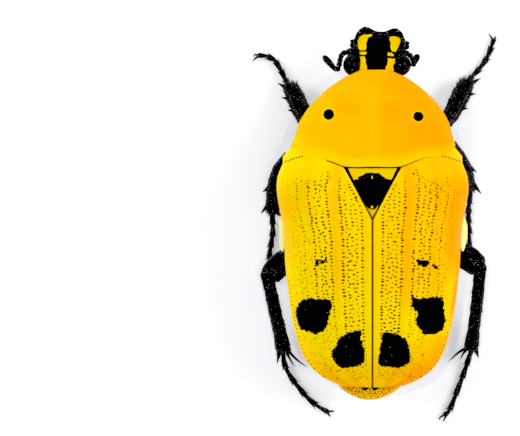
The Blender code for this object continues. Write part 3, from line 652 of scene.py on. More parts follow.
@dataclass(frozen=True)
class Cuticle:
    """Polished chitin with markings: a hard, layered shell under a thin wax, grown smooth and then pitted.

    It gives the eye a deep, even yellow that leans to orange in soft clouds, with a dull, broad sheen, and
    ink-black marks with ragged edges. Each puncture is a dark dot in a rusty ring, because the pigment is
    thinner round it.

    The points of a piece may carry these numbers: ink, the distance in mm to the nearest black mark, below 0
    inside it; pit, above 0 inside a puncture; tone, how far the colour leans to the warm one, which holds
    the shell's own warmth and also painted shade, where a side or margin is drawn warmer as if less lit;
    brown, how dark a seam is; glint, how many of its finest punctures flash.
    """

    name: str
    ground: str = "#FFD200"
    warm: str = "#FFA400"
    inked: str = "#050405"
    pit_colour: str = "#0C0500"
    halo: str = "#D06400"
    brown: str = "#4A2600"
    ragged_mm: float = 0.15
    ragged_size_mm: float = 0.26
    cloud_mm: float = 3.2
    cloud: float = 0.35
    roughness: float = 0.5
    inked_roughness: float = 0.22
    specular: float = 0.03
    inked_specular: float = 0.012
    # The finest punctures of black chitin, about 0.01 mm across and closer together, are too fine to show.
    # Their flashes are drawn as pale specks of this size and gap.
    speck: str = "#C2CAD4"
    speck_gap_mm: float = 0.5
    speck_mm: float = 0.04
    # The real grain is finer than a hundredth of a millimetre, and is drawn as coarse as it needs to show.
    grain_mm: float = 0.035
    grain_depth_mm: float = 0.0008

    def material(self) -> Finish:
        """Build the material.

        Returns:
            The material.
        """
        made, tree, shader, place = blank(self.name)
        ink, depth, tone, brown, glint = (
            add(tree, "ShaderNodeAttribute", {"attribute_name": key}).outputs["Fac"]
            for key in ("ink", "pit", "tone", "brown", "glint"))
        cloud = noise(tree, place, self.cloud_mm, 3.0)
        lean = reckon(tree, "MULTIPLY_ADD", cloud, self.cloud, -self.cloud / 2)
        # The lean to the warm colour is partly the shell's own and partly painted shade.
        colour = blend(tree, reckon(tree, "ADD", lean, tone, clamp=True), self.ground, self.warm)
        colour = blend(tree, brown, colour, self.brown)
        ragged = noise(tree, place, self.ragged_size_mm, 4.0, 0.7)
        wander = reckon(tree, "MULTIPLY_ADD", ragged, self.ragged_mm * 4, -self.ragged_mm * 2)
        pitted = reckon(tree, "ADD", wander, depth)
        dark = remap(tree, pitted, 0.0, 0.3)
        colour = blend(tree, remap(tree, pitted, -0.7, 0.1, 0.0, 0.6), colour, self.halo)
        colour = blend(tree, dark, colour, self.pit_colour)
        # A puncture at the edge of a mark runs into it.
        reach = reckon(tree, "MULTIPLY_ADD", dark, -0.14, reckon(tree, "ADD", wander, ink))
        black = remap(tree, reach, 0.02, -0.02)
        colour = blend(tree, black, colour, self.inked)
        size = self.speck_mm / self.speck_gap_mm
        flash = reckon(tree, "MULTIPLY", specks(tree, place, self.speck_gap_mm, size, size * 0.6), glint)
        colour = blend(tree, reckon(tree, "MULTIPLY", flash, black), colour, self.speck)
        bump = add(tree, "ShaderNodeBump", {"Strength": 1.0, "Distance": self.grain_depth_mm * MM,
                                            "Height": noise(tree, place, self.grain_mm, 2.0)})
        feed(tree, shader, {"Base Color": colour, "Normal": bump.outputs["Normal"], "IOR": CHITIN_IOR,
                            "Roughness": remap(tree, black, 0.0, 1.0, self.roughness, self.inked_roughness),
                            "Specular IOR Level": remap(tree, black, 0.0, 1.0, self.specular,
                                                        self.inked_specular)})
        return made


@dataclass(frozen=True)
class Horn:
    """Plain dark chitin of legs, feelers and belly: near black, brown where it is thin, with a wet gloss.

    It gives the eye hard, narrow highlights that break up over shallow punctures.
    """

    name: str
    ground: str = "#030304"
    thin: str = "#080505"
    cloud_mm: float = 0.6
    roughness: float = 0.09
    worn: float = 0.2
    specular: float = 0.12
    puncture_mm: float = 0.13
    puncture_depth_mm: float = 0.018
    # The wear between the punctures is really finer than this, and is drawn as coarse as it needs to show.
    wear_mm: float = 0.05
    # Flashes of the finest punctures, drawn larger and wider apart than they are. Gap 0 leaves them out.
    speck: str = "#A4ADB8"
    speck_gap_mm: float = 0.0
    speck_mm: float = 0.04

    def material(self) -> Finish:
        """Build the material.

        Returns:
            The material.
        """
        made, tree, shader, place = blank(self.name)
        cloud = noise(tree, place, self.cloud_mm, 4.0)
        colour = blend(tree, cloud, self.ground, self.thin)
        hollow = remap(tree, cells(tree, place, self.puncture_mm, 0.9), 0.12, 0.42)
        height = reckon(tree, "MULTIPLY_ADD", noise(tree, place, self.wear_mm, 3.0), 0.25, hollow)
        bump = add(tree, "ShaderNodeBump", {"Strength": 0.8, "Distance": self.puncture_depth_mm * MM,
                                            "Height": height})
        if self.speck_gap_mm:
            size = self.speck_mm / self.speck_gap_mm
            dots = specks(tree, place, self.speck_gap_mm, size, size * 0.6)
            colour = blend(tree, dots, colour, self.speck)
        feed(tree, shader, {"Base Color": colour, "Normal": bump.outputs["Normal"], "IOR": CHITIN_IOR,
                            "Roughness": remap(tree, cloud, 0.0, 1.0, self.roughness, self.worn),
                            "Specular IOR Level": self.specular})
        return made


@dataclass(frozen=True)
class Facets:
    """Compound eye: thousands of clear lenses over dark red-brown pigment, which give a soft gloss."""

    name: str = "eye_lenses"
    ground: str = "#060303"
    glow: str = "#110504"
    glow_mm: float = 0.5
    # A real lens is about 0.025 mm across. It is drawn coarser, so that it shows.
    facet_mm: float = 0.045
    facet_depth_mm: float = 0.004
    # Flashes of single lenses, drawn larger than they are, with rim and core as shares of the gap.
    speck: str = "#8C949E"
    speck_gap_mm: float = 0.3
    speck_rim: float = 0.16
    speck_core: float = 0.1
    roughness: float = 0.07
    specular: float = 0.08
    index: float = 1.5

    def material(self) -> Finish:
        """Build the material.

        Returns:
            The material.
        """
        made, tree, shader, place = blank(self.name)
        cloud = noise(tree, place, self.glow_mm, 2.0)
        colour = blend(tree, remap(tree, cloud, 0.45, 0.75), self.ground, self.glow)
        bump = add(tree, "ShaderNodeBump", {
            "Strength": 0.25, "Distance": self.facet_depth_mm * MM, "invert": True,
            "Height": cells(tree, place, self.facet_mm, 0.25)})
        dots = specks(tree, place, self.speck_gap_mm, self.speck_rim, self.speck_core)
        feed(tree, shader, {"Base Color": blend(tree, dots, colour, self.speck), "Roughness": self.roughness,
                            "Normal": bump.outputs["Normal"], "IOR": self.index,
                            "Specular IOR Level": self.specular})
        return made


@dataclass(frozen=True)
class Bristle:
    """Setae: solid chitin hairs, translucent brown to golden, which catch the light along their length."""

    name: str
    colour: str = "#1A0F08"
    tips: str = "#3A2412"
    patch_mm: float = 0.4
    roughness: float = 0.35

    def material(self) -> Finish:
        """Build the material.

        Returns:
            The material.
        """
        made, tree, shader, place = blank(self.name)
        colour = blend(tree, noise(tree, place, self.patch_mm, 2.0), self.colour, self.tips)
        feed(tree, shader, {"Base Color": colour, "Roughness": self.roughness, "IOR": CHITIN_IOR})
        return made


def dress(piece: Piece, finish: Finish, nodes: tuple[str, ...] = ()) -> None:
    """Finish a piece and hang it on the body.

    Args:
        piece: The piece.
        finish: Its material.
        nodes: Solids that it replaces.
    """
    smooth_shade(piece)
    piece.data.materials.clear()
    piece.data.materials.append(finish)
    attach(piece, "root")
    if nodes:
        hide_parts(*nodes)
    LOG.info("%s: %d faces", piece.name, len(piece.data.polygons))


# Back


@dataclass
class Scutellum:
    """The triangle between the wing cases, black with yellow corners and a yellow tip."""

    front: float = -4.2
    tip: float = -0.42
    half: float = 1.9
    sink: float = 0.07
    thick: float = 0.35
    spot: Outline = ((1.1, -3.03), (1.05, -3.56), (0.7, -3.7), (0.48, -3.86), (-0.44, -3.85), (-0.7, -3.65),
                     (-0.95, -3.5), (-1.04, -3.03), (-1.0, -2.44), (-0.78, -1.92), (-0.48, -1.59),
                     (-0.18, -1.3), (0.04, -1.18), (0.29, -1.3), (0.58, -1.58), (0.85, -2.0), (1.07, -2.51))
    apex: Outline = ((0.58, -1.5), (0.34, -1.26), (0.11, -1.14), (-0.18, -1.16), (-0.42, -1.45),
                     (-0.32, -1.03), (0.01, -0.5), (0.41, -1.0))
    corner_end: float = -3.2

    def reach(self, line: Array | float) -> Array:
        """Half width, which falls below zero past the tip."""
        bow = 1 + 0.03 * np.sin(np.clip((line - self.front) / (self.tip - self.front), 0, 1) * math.pi)
        return self.half * (1 - (line - self.front) / (self.tip - self.front)) * bow

    def build(self, cases: "WingCases", finish: Finish) -> None:
        """Build the plate against the wing cases beside it.

        Args:
            cases: The wing cases, whose arch it carries on.
            finish: Material of the shell.
        """
        def place(u: Array, v: Array) -> Array:
            """Places of the grid's points."""
            y = self.front + (self.tip - self.front) * v
            under = u > 0.5
            s = np.where(under, 3 - 4 * u, 4 * u - 1)
            s = np.sign(s) * (1 - (1 - np.abs(s)) ** 1.3)
            half = np.maximum(self.reach(y), 0.0)
            x = s * half
            edge = half * (1 - np.abs(s))
            z = (cases.height(x, y) - self.sink + 0.05 * ease(0.0, 0.5, edge)
                 - 0.1 * (1 - ease(0.0, 0.16, edge)))
            depth = self.thick * np.minimum(1.0, edge / 0.3)
            return np.stack([x, y, np.where(under, z - depth, z)], axis=-1)

        piece = lay("scutellum_plate", 220, 110, place)
        x, y, _ = read(piece).T
        edge = np.maximum(self.reach(y), 0) - np.abs(x)
        spots = random_of(5)
        rows = []
        for sign in (1, -1):
            for line in np.arange(-3.35, -1.5, 0.105):
                side = sign * (float(self.reach(line)) - 0.36 + 0.03 * spots.normal())
                rows.append((side, line, float(cases.height(side, line)) - self.sink))
        pit(piece, np.array(rows), np.full(len(rows), 0.05), 0.03)
        # Black, with yellow corners, a yellow tip and two small yellow dots.
        corner = np.maximum(y - self.corner_end + 0.25 * (1.9 - np.abs(x)), 0.09 - edge)
        yellow = np.minimum(corner, border(x, y, self.apex))
        dot = np.hypot(x - 0.04, y + 1.33) - 0.1
        yellow = np.minimum(yellow, dot)
        ink = np.where(yellow < 0, np.minimum(-yellow, border(x, y, self.spot)), -yellow)
        ink = np.where(np.hypot((x - 0.04) * 1.6, y + 1.33) < 0.16, -dot, ink)
        ink = np.maximum(ink, -(np.hypot((x - 0.03) * 2.2, y + 3.52) - 0.12))
        note(piece, "ink", ink)
        note(piece, "tone", np.full(len(x), 0.1))
        dress(piece, finish, ("scutellum",))


@dataclass
class WingCases:
    """The two wing cases: yellow shields with costae, rows of dark punctures and black spots."""

    front: float = -4.61
    end: float = 12.1
    power: float = 2.4
    wall: float = 0.5
    lip: float = 0.2
    width: Pairs = ((-4.61, 6.78), (-3.6, 7.15), (-2.4, 7.2), (0.5, 6.7), (2.9, 6.6), (5.3, 6.34),
                    (7.0, 6.08), (8.3, 5.78), (9.7, 5.3), (10.75, 4.62), (11.55, 3.62), (12.1, 2.4))
    edge: Pairs = ((-4.61, 5.9), (-2.0, 5.1), (1.0, 4.7), (5.0, 4.6), (9.0, 4.8), (12.1, 5.2))
    back: Pairs = ((-4.61, 9.2), (-2.0, 9.75), (1.0, 10.0), (4.0, 9.8), (7.0, 9.1), (9.0, 8.3), (10.5, 7.3),
                   (11.5, 6.5), (12.1, 5.9))
    base: Pairs = ((0.0, -4.25), (2.0, -4.26), (3.0, -4.6), (3.9, -4.92), (5.2, -5.04), (6.78, -4.56))
    shear: float = 0.2
    costae: tuple[tuple[float, float, float], ...] = (
        (2.62, 0.34, 0.09), (4.67, 0.3, 0.07), (0.3, 0.22, 0.05))
    grooves: tuple[float, ...] = (0.75, 2.17, 3.07, 4.29, 5.05)
    shoulder: tuple[float, float, float, float] = (5.3, -3.0, 1.1, 0.3)
    callus: tuple[float, float, float, float] = (3.5, 9.6, 1.0, 0.25)
    top_share: float = 0.9
    columns: int = 190
    rows: int = 300
    spots_left: tuple[Outline, ...] = (
        ((5.71, 6.25), (5.5, 5.84), (5.02, 5.5), (4.57, 5.39), (4.05, 5.54), (3.61, 5.47), (3.01, 5.58),
         (3.05, 6.17), (3.23, 6.84), (3.35, 7.51), (3.61, 7.84), (4.25, 8.13), (4.95, 7.96), (5.42, 7.79),
         (5.61, 7.25), (5.76, 6.77)),
        ((1.45, 7.92), (0.85, 7.83), (0.85, 8.35), (0.68, 8.91), (0.63, 9.5), (0.58, 10.29), (0.85, 10.39),
         (1.3, 10.61), (1.74, 10.65), (2.3, 10.71), (2.63, 10.43), (2.9, 10.09), (3.07, 9.5), (2.78, 9.02),
         (2.45, 8.39), (1.89, 8.05)),
        ((4.21, 2.61), (4.01, 2.64), (3.92, 2.84), (4.07, 3.02), (4.18, 2.92)),
        ((3.84, 2.67), (3.59, 2.64), (3.43, 2.43), (3.4, 2.61), (3.58, 2.78), (3.81, 2.81)))
    spots_right: tuple[Outline, ...] = (
        ((-2.86, 5.26), (-3.38, 5.47), (-4.28, 5.35), (-5.24, 5.38), (-5.28, 5.95), (-5.35, 6.44),
         (-5.47, 7.04), (-5.35, 7.81), (-4.53, 8.16), (-3.76, 8.11), (-3.53, 7.73), (-3.22, 7.39),
         (-3.2, 6.99), (-3.34, 6.44), (-3.01, 6.17)),
        ((-0.78, 7.87), (-0.69, 8.31), (-0.62, 8.65), (-0.53, 9.63), (-0.33, 10.35), (-0.85, 10.58),
         (-1.45, 10.63), (-1.97, 10.65), (-2.3, 10.56), (-2.77, 10.26), (-2.84, 9.75), (-2.71, 9.28),
         (-2.6, 8.76), (-2.38, 8.39), (-2.04, 8.16), (-1.74, 8.05), (-1.22, 7.99)),
        ((-3.25, 2.56), (-3.67, 2.64), (-4.07, 2.65), (-4.16, 2.86), (-3.86, 3.05), (-3.55, 2.92),
         (-3.37, 2.96)),
        ((-4.44, 2.93), (-4.7, 3.01), (-4.76, 3.23), (-4.58, 3.18)))

    # Each row of punctures: distance from the seam, scatter, step along the row, radius, where it starts.
    pit_rows: tuple[tuple[float, float, float, float, float], ...] = (
        (0.75, 0.02, 0.25, 0.062, -3.2), (1.16, 0.08, 0.31, 0.052, -3.6), (1.48, 0.08, 0.31, 0.052, -3.7),
        (1.82, 0.06, 0.29, 0.056, -3.8), (2.19, 0.03, 0.24, 0.064, -3.9), (3.07, 0.03, 0.24, 0.066, -4.1),
        (3.5, 0.08, 0.28, 0.06, -4.0), (3.88, 0.08, 0.28, 0.06, -4.0), (4.29, 0.035, 0.24, 0.066, -4.05),
        (5.05, 0.05, 0.25, 0.062, -3.9), (5.45, 0.08, 0.33, 0.048, -3.7), (5.85, 0.1, 0.4, 0.036, -2.4))
    pits_end: float = 11.6

    def narrowing(self, line: Array | float) -> Array:
        """How far rows and costae draw together, 1 where the wing cases are widest."""
        return along(self.width, line) / 6.7 * (1 - 0.03 * ease(-1.0, -4.0, line))

    def height(self, x: Array | float, line: Array | float, inset: Array | float = 0.0) -> Array:
        """Height of the face, or of a face that lies inset below it.

        Args:
            x: Distance from the middle line.
            line: Place along the body.
            inset: How far below the face.

        Returns:
            Height in millimetres.
        """
        half = along(self.width, line) - inset
        edge = along(self.edge, line)
        low = edge + (along(self.back, line) - edge - inset) * dome(x, half, self.power)
        out = np.abs(x)
        length = dome(line - 3.75, 6.25, 2.0)
        swell = np.zeros_like(low)
        for centre, width, rise in self.costae:
            swell += rise * length * bell(out / self.narrowing(line), centre, width)
        swell += hill(out, line, *self.shoulder) + hill(out, line, *self.callus)
        return low + swell * (1 - np.minimum(1.0, np.asarray(inset) / self.wall))

    def rows_of_pits(self, sign: int, seed: int, scutellum: Scutellum) -> tuple[Array, Array]:
        """Places and radii of the punctures of one wing case.

        Args:
            sign: 1 for the left case and -1 for the right one.
            seed: Seed of the scatter.
            scutellum: The plate that the rows go round.

        Returns:
            A place and a radius for each puncture.
        """
        chance = random_of(seed)
        spots = []

        def put(out: float, line: float, radius: float) -> None:
            """Keep a puncture if it lies on the plate."""
            half = float(along(self.width, line))
            inner = float(scutellum.reach(line)) + 0.3
            if max(0.3, inner) < out < half - 0.12 and line < self.end - 0.1:
                spots.append((sign * out, line, radius))

        for base, spread, step, radius, start in self.pit_rows:
            line = start + chance.random() * step
            while line < self.pits_end:
                lean = 1 + 0.06 * float(ease(2.5, -3.5, line))
                out = base * lean * float(self.narrowing(line)) + spread * chance.normal()
                edge = float(scutellum.reach(line)) + 0.42
                fade = 1 - 0.35 * float(ease(8.0, 10.6, line)) - 0.22 * float(ease(-0.5, -3.5, line))
                fade -= 0.3 * float(ease(5.5, 7.8, line)) * (base > 2.5)
                put(max(out, edge) if base < 1 else out, line, radius * fade * (0.7 + 0.5 * chance.random()))
                line += step * (0.75 + 0.5 * chance.random())
        # Fine ones scattered over the outer flank.
        for _ in range(640):
            line = chance.uniform(-3.4, self.pits_end)
            out = chance.uniform(4.6, 6.6) * float(self.narrowing(line))
            put(out, line, chance.uniform(0.024, 0.044) * (0.7 if line < 0 or line > 7.0 else 0.9))
        # Small ones among the outer rows, from the middle to the rear.
        for _ in range(150):
            line = chance.uniform(2.0, self.pits_end)
            out = chance.uniform(3.1, 5.0) * float(self.narrowing(line))
            put(out, line, chance.uniform(0.022, 0.034))
        # A row of larger ones beside the outer margin.
        line = 4.2
        while line < self.pits_end:
            put(float(along(self.width, line)) - 0.19, line, 0.078)
            line += 0.3
        # Fine ones over the rear end and the shoulder.
        for _ in range(180):
            line = chance.uniform(9.6, 12.0)
            put(chance.uniform(0.3, 4.6), line, chance.uniform(0.02, 0.036))
        for _ in range(60):
            put(chance.uniform(3.0, 5.6), chance.uniform(-4.1, -2.4), chance.uniform(0.03, 0.044))
        table = np.array(spots)
        z = self.height(table[:, 0], table[:, 1])
        return np.stack([table[:, 0], table[:, 1], z], axis=-1), table[:, 2]

    def build(self, side: Side, scutellum: Scutellum, finish: Finish) -> None:
        """Build one wing case.

        Args:
            side: Which one.
            scutellum: The plate that its inner edge goes round.
            finish: Material of the shell.
        """
        sign = side.value
        spread = np.linspace(0.0, math.pi / 2, 500)
        arc = np.hypot(np.diff(6.8 * np.sin(spread) ** (2 / self.power)),
                       np.diff(5.2 * np.cos(spread) ** (2 / self.power)))
        even = np.concatenate([[0.0], np.cumsum(arc)]) / arc.sum()

        def place(u: Array, v: Array) -> Array:
            """Places of the grid's points."""
            u = shut(u)
            line = self.front + (self.end - self.front) * (1 - (1 - v) ** 1.12)
            half = along(self.width, line)
            inner = np.maximum(SEAM / 2, scutellum.reach(line) + SEAM)
            first = np.arcsin(np.minimum(1.0, (inner / half) ** (self.power / 2)))
            start = np.interp(first, spread, even)
            t = np.minimum(u / self.top_share, 1.0)
            back = np.clip((u - self.top_share) / (1 - self.top_share), 0.0, 1.0)
            share = np.where(u <= self.top_share, start + (1 - start) * t, 1 - (1 - start) * back)
            angle = np.interp(share, even, spread)
            ends = ease(0.0, 0.05, v) * ease(0.0, 0.07, 1 - v)
            inset = (self.lip + (self.wall - self.lip) * ends) * ease(0.0, 0.3, back)
            x = np.maximum(inner, (half - inset) * np.sin(angle) ** (2 / self.power))
            z = self.height(x, line, inset)
            pull = np.maximum(0.0, 1 - (line - self.front) / (self.end - self.front) / self.shear) ** 2
            bow = 0.1 * ease(0.93, 1.0, v) * (1 - (x / half) ** 2)
            y = line + pull * (along(self.base, x) - self.front) + bow
            z -= 0.05 * bell(x - inner, 0.0, 0.04) * (u <= self.top_share)
            return np.stack([sign * x, y, z], axis=-1)

        piece = lay(f"elytron_{side.word}_shell", self.columns, self.rows, place)
        points = read(piece)
        out, line = np.abs(points[:, 0]), points[:, 1]
        u = noted(piece, "u")
        upper = (u <= self.top_share).astype(float)
        shape = np.zeros(len(u))
        for groove in self.grooves:
            shape -= 0.022 * bell(out / self.narrowing(line), groove, 0.1) * ease(-3.6, -2.6, line)
        shape -= 0.03 * bell(along(self.width, line) - out, 0.2, 0.06) * ease(-2.0, 0.5, line)
        press(piece, shape * upper)
        centres, radii = self.rows_of_pits(sign, 20 + sign, scutellum)
        pit(piece, centres, radii * 0.8, 0.035, 1.6)
        x, y = points[:, 0], points[:, 1]
        outlines = self.spots_left if sign > 0 else self.spots_right
        swollen = 0.05 * (y < 4.0)
        note(piece, "ink", np.where(upper > 0, nearest_border(x, y, outlines) - swollen, 1.0))
        inner = np.maximum(SEAM / 2, scutellum.reach(line) + SEAM)
        side_lean = ease(4.6, 6.6, out / self.narrowing(line)) * ease(-5.0, -1.0, -np.abs(line))
        margin = along(self.width, line) - out
        band = ease(1.7, 0.6, margin) * np.where(x > 0, 0.3 * ease(5.8, 8.0, y), 0.5 * ease(7.4, 8.8, y))
        band += np.where(x > 0, 0.0, 0.6) * ease(0.6, 0.15, margin) * bell(y, 5.5, 1.8)
        # Lemon to orange as in the photo: warmer on the ribs, the margins and the rear end. Part of this is
        # painted light and shade: the left side is drawn lemon and the right side orange as if lit from the
        # left, the flanks and the right margin are drawn warmer as painted shade, and a lemon band of
        # painted light crosses the middle between the spots.
        tone = (0.22 - 0.055 * x - 0.32 * bell(y, 7.0, 2.4)
                + 0.34 * bell(out / self.narrowing(line), 2.62, 0.4)
                + 0.16 * bell(out / self.narrowing(line), 4.67, 0.35)
                + np.where(x > 0, 0.45, 0.65) * side_lean + 0.24 * ease(9.8, 11.8, y) + band
                + np.where(x > 0, hill(out, y, 4.9, -3.2, 1.6, 0.2) + hill(out, y, 6.3, -1.5, 1.3, 0.2), 0.0)
                - hill(out, y, 2.4, 7.6, 1.1, 0.35)
                + hill(out, y, 2.9, 11.2, 0.9, np.where(x < 0, 0.2, 0.1)))
        note(piece, "tone", tone)
        note(piece, "brown", bell(out - inner, 0.0, 0.055) * 0.95)
        note(piece, "glint", np.full(len(x), 0.8))
        dress(piece, finish, (f"elytron_{side.word}",))


@dataclass
class NeckShield:
    """The pronotum: a smooth, arched shield with a raised side margin and two black dots."""

    front: float = -11.66
    hind: float = -6.0
    floor: float = 4.6
    power: float = 2.2
    width: Pairs = ((-11.66, 1.1), (-11.45, 1.5), (-11.1, 2.27), (-10.3, 3.48), (-9.7, 4.15), (-9.06, 4.78),
                    (-7.85, 5.57), (-7.1, 5.83), (-6.4, 6.04), (-6.0, 6.17))
    arch: Pairs = ((-11.66, 2.0), (-11.45, 2.1), (-11.1, 2.5), (-10.3, 3.54), (-9.7, 4.19), (-9.06, 4.81),
                   (-7.85, 5.59), (-7.1, 5.85), (-6.4, 6.06), (-6.0, 6.19))
    rear: Pairs = ((0.0, -4.28), (2.0, -4.3), (3.0, -4.65), (3.9, -4.97), (5.2, -5.15), (6.18, -5.95))
    edge: Pairs = ((-11.66, 5.4), (-10.0, 5.1), (-8.0, 5.05), (-6.0, 5.25), (-4.3, 5.5))
    back: Pairs = ((-11.66, 6.5), (-10.5, 7.1), (-9.0, 7.9), (-7.0, 8.7), (-5.0, 9.25), (-4.3, 9.35))
    turn: tuple[float, float] = (-0.22, -0.06)
    flat: float = 0.2
    top_share: float = 0.86
    columns: int = 250
    rows: int = 170
    dots: tuple[tuple[float, float, float], ...] = ((3.26, -8.25, 0.4), (-3.42, -8.08, 0.37))

    def axis(self, y: Array | float) -> Array:
        """The middle line, which turns a little to the beetle's right."""
        start, stop = self.turn
        return start + (stop - start) * np.clip((y - self.front) / (self.hind - self.front), 0.0, 1.0)

    def height(self, x: Array, y: Array) -> Array:
        """Height of the face."""
        edge = along(self.edge, y)
        return edge + (along(self.back, y) - edge) * dome(x - self.axis(y), along(self.arch, y), self.power)

    def build(self, finish: Finish) -> None:
        """Build the shield.

        Args:
            finish: Material of the shell.
        """
        def place(u: Array, v: Array) -> Array:
            """Places of the grid's points."""
            s = 2 * u - 1
            out = np.abs(s)
            level = (self.front + (self.hind - self.front)
                     * np.maximum(0.0, (out - self.flat) / (1 - self.flat)) ** 1.15)
            front_x = np.where(out < self.flat, 1.1 * out / self.flat, along(self.width, level))
            level = level + 0.03 * np.maximum(0.0, 1 - (out / self.flat) ** 2)
            rear_x = along(self.width, self.hind) * out ** 0.9
            rear_y = along(self.rear, rear_x)
            v = shut(v)
            t = np.minimum(v / self.top_share, 1.0)
            back = np.clip((v - self.top_share) / (1 - self.top_share), 0.0, 1.0)
            t = np.where(v <= self.top_share, t ** 1.05, 1 - back)
            y = level + (rear_y - level) * t
            x = np.sign(s) * (front_x + (rear_x - front_x) * t) + self.axis(y)
            z = self.height(x, y)
            length = np.maximum(rear_y - level, 1e-6)
            under = np.minimum(back, 1 - back) * length
            z = z - (z - self.floor) * ease(0.0, 0.35, under) * (back > 0)
            return np.stack([x, y, z], axis=-1)

        piece = lay("pronotum_shell", self.columns, self.rows, place)
        x, y, z = read(piece).T
        v = noted(piece, "v")
        upper = v <= self.top_share
        offset = x - self.axis(y)
        level = np.clip(y, self.front, self.hind)
        rim = np.where(y > self.hind, 1.0, along(self.width, level) - np.abs(offset))
        bead = 0.045 * bell(rim, 0.07, 0.06) - 0.03 * bell(rim, 0.2, 0.05)
        bead -= 0.02 * bell(offset, 0.0, 0.12) * ease(-10.5, -9.0, y) * ease(-4.6, -5.6, y)
        press(piece, bead * upper)
        sides = np.where(upper, 0.05 + ease(2.0, 5.0, np.abs(offset)), 0.0)
        centres = scatter(piece, 1500, 0.22, 8, sides)
        pit(piece, centres, np.full(len(centres), 0.03), 0.008)
        # These punctures only dimple the shield, and keep its colour.
        note(piece, "pit", np.full(len(x), -1.0))
        ink = np.minimum.reduce([np.hypot(x - cx, y - cy) - r for cx, cy, r in self.dots])
        note(piece, "ink", np.where(upper, ink, z - 4.95))
        pale = bell(offset, 0.0, 0.35) * 0.12
        # Painted light and shade: the colour falls from lemon on the left to orange on the right, the sides
        # are drawn warmer, and the left rear corner lemon against a warmer right one, as if lit from the
        # left.
        tone = 0.64 - 0.065 * x - pale - 0.45 * bell(ink, 0.0, 0.16) + 0.1 * ease(-9.0, -11.5, y)
        tone += np.where(x > 0, 0.08, 0.2) * ease(1.2, 4.2, np.abs(x)) * ease(-6.2, -7.6, y)
        tone += (hill(x, y, 1.96, -8.9, 1.1, 0.2) + hill(x, y, -1.3, -8.5, 1.1, 0.2)
                 + hill(x, y, -2.3, -10.8, 1.0, 0.25))
        rear = along(self.rear, np.abs(x)) - y
        tone -= (0.62 * ease(1.2, 0.2, rear)
                 + np.where(x > 0, 0.3, -0.3) * ease(4.4, 6.0, np.abs(x)) * ease(-7.4, -6.0, y))
        note(piece, "tone", tone)
        note(piece, "brown", 0.8 * bell(rear, 0.0, 0.04) * (np.abs(x) < 5.2))
        dress(piece, finish, ("pronotum",))


@dataclass
class Pygidium:
    """The arched end plate behind the wing cases."""

    line_y: Pairs = ((0.0, 12.0), (0.25, 12.75), (0.5, 13.2), (0.75, 13.15), (1.0, 12.7))
    line_z: Pairs = ((0.0, 4.95), (0.25, 4.5), (0.5, 3.6), (0.75, 2.75), (1.0, 2.1))
    half: Pairs = ((0.0, 2.95), (0.15, 2.75), (0.3, 2.45), (0.6, 2.1), (0.85, 1.55), (1.0, 0.8))
    axis: float = 0.2
    bend: float = 0.17
    inner: float = 10.65
    rim: float = 0.3
    top_share: float = 0.8

    def build(self, finish: Finish) -> None:
        """Build the plate, with its flat inner face.

        Args:
            finish: Material of the shell.
        """
        def place(u: Array, v: Array) -> Array:
            """Places of the grid's points."""
            u = shut(u)
            t = np.clip(u / self.top_share, 0.0, 1.0)
            back = np.clip((u - self.top_share) / (1 - self.top_share), 0.0, 1.0)
            s = np.where(u <= self.top_share, 2 * t - 1, 1 - 2 * back)
            x = s * along(self.half, v)
            y = along(self.line_y, v) - self.bend * x * x
            inset = ease(0.0, 0.2, back) * ease(0.0, 0.2, 1 - back)
            deep = np.minimum(self.inner, y - self.rim)
            swell = 0.12 * np.sin(math.pi * np.clip(v, 0, 1)) * (1 - s * s)
            z = along(self.line_z, v) + 0.3 * v * inset
            return np.stack([x + self.axis, y + (deep - y) * inset + swell * (1 - inset) * 0.5, z], axis=-1)

        piece = lay("pygidium_plate", 150, 110, place)
        x = read(piece)[:, 0] - self.axis
        outer = noted(piece, "u") <= self.top_share
        centres = scatter(piece, 1600, 0.16, 31, outer.astype(float) + 0.001)
        pit(piece, centres, random_of(3).uniform(0.035, 0.06, len(centres)), 0.03)
        v = noted(piece, "v")
        ink = np.minimum(np.hypot((np.abs(x) - 1.95) * 0.8, (v - 0.1) * 4.0) - 0.42,
                         np.hypot((np.abs(x) - 0.42) * 1.2, (v - 0.08) * 4.0) - 0.3)
        ink = np.minimum(ink, (0.95 - v) * 2.5)
        note(piece, "ink", np.where(outer, ink, -1.0))
        note(piece, "tone", 0.35 + 0.2 * np.abs(x))
        dress(piece, finish, ("pygidium",))


# Head


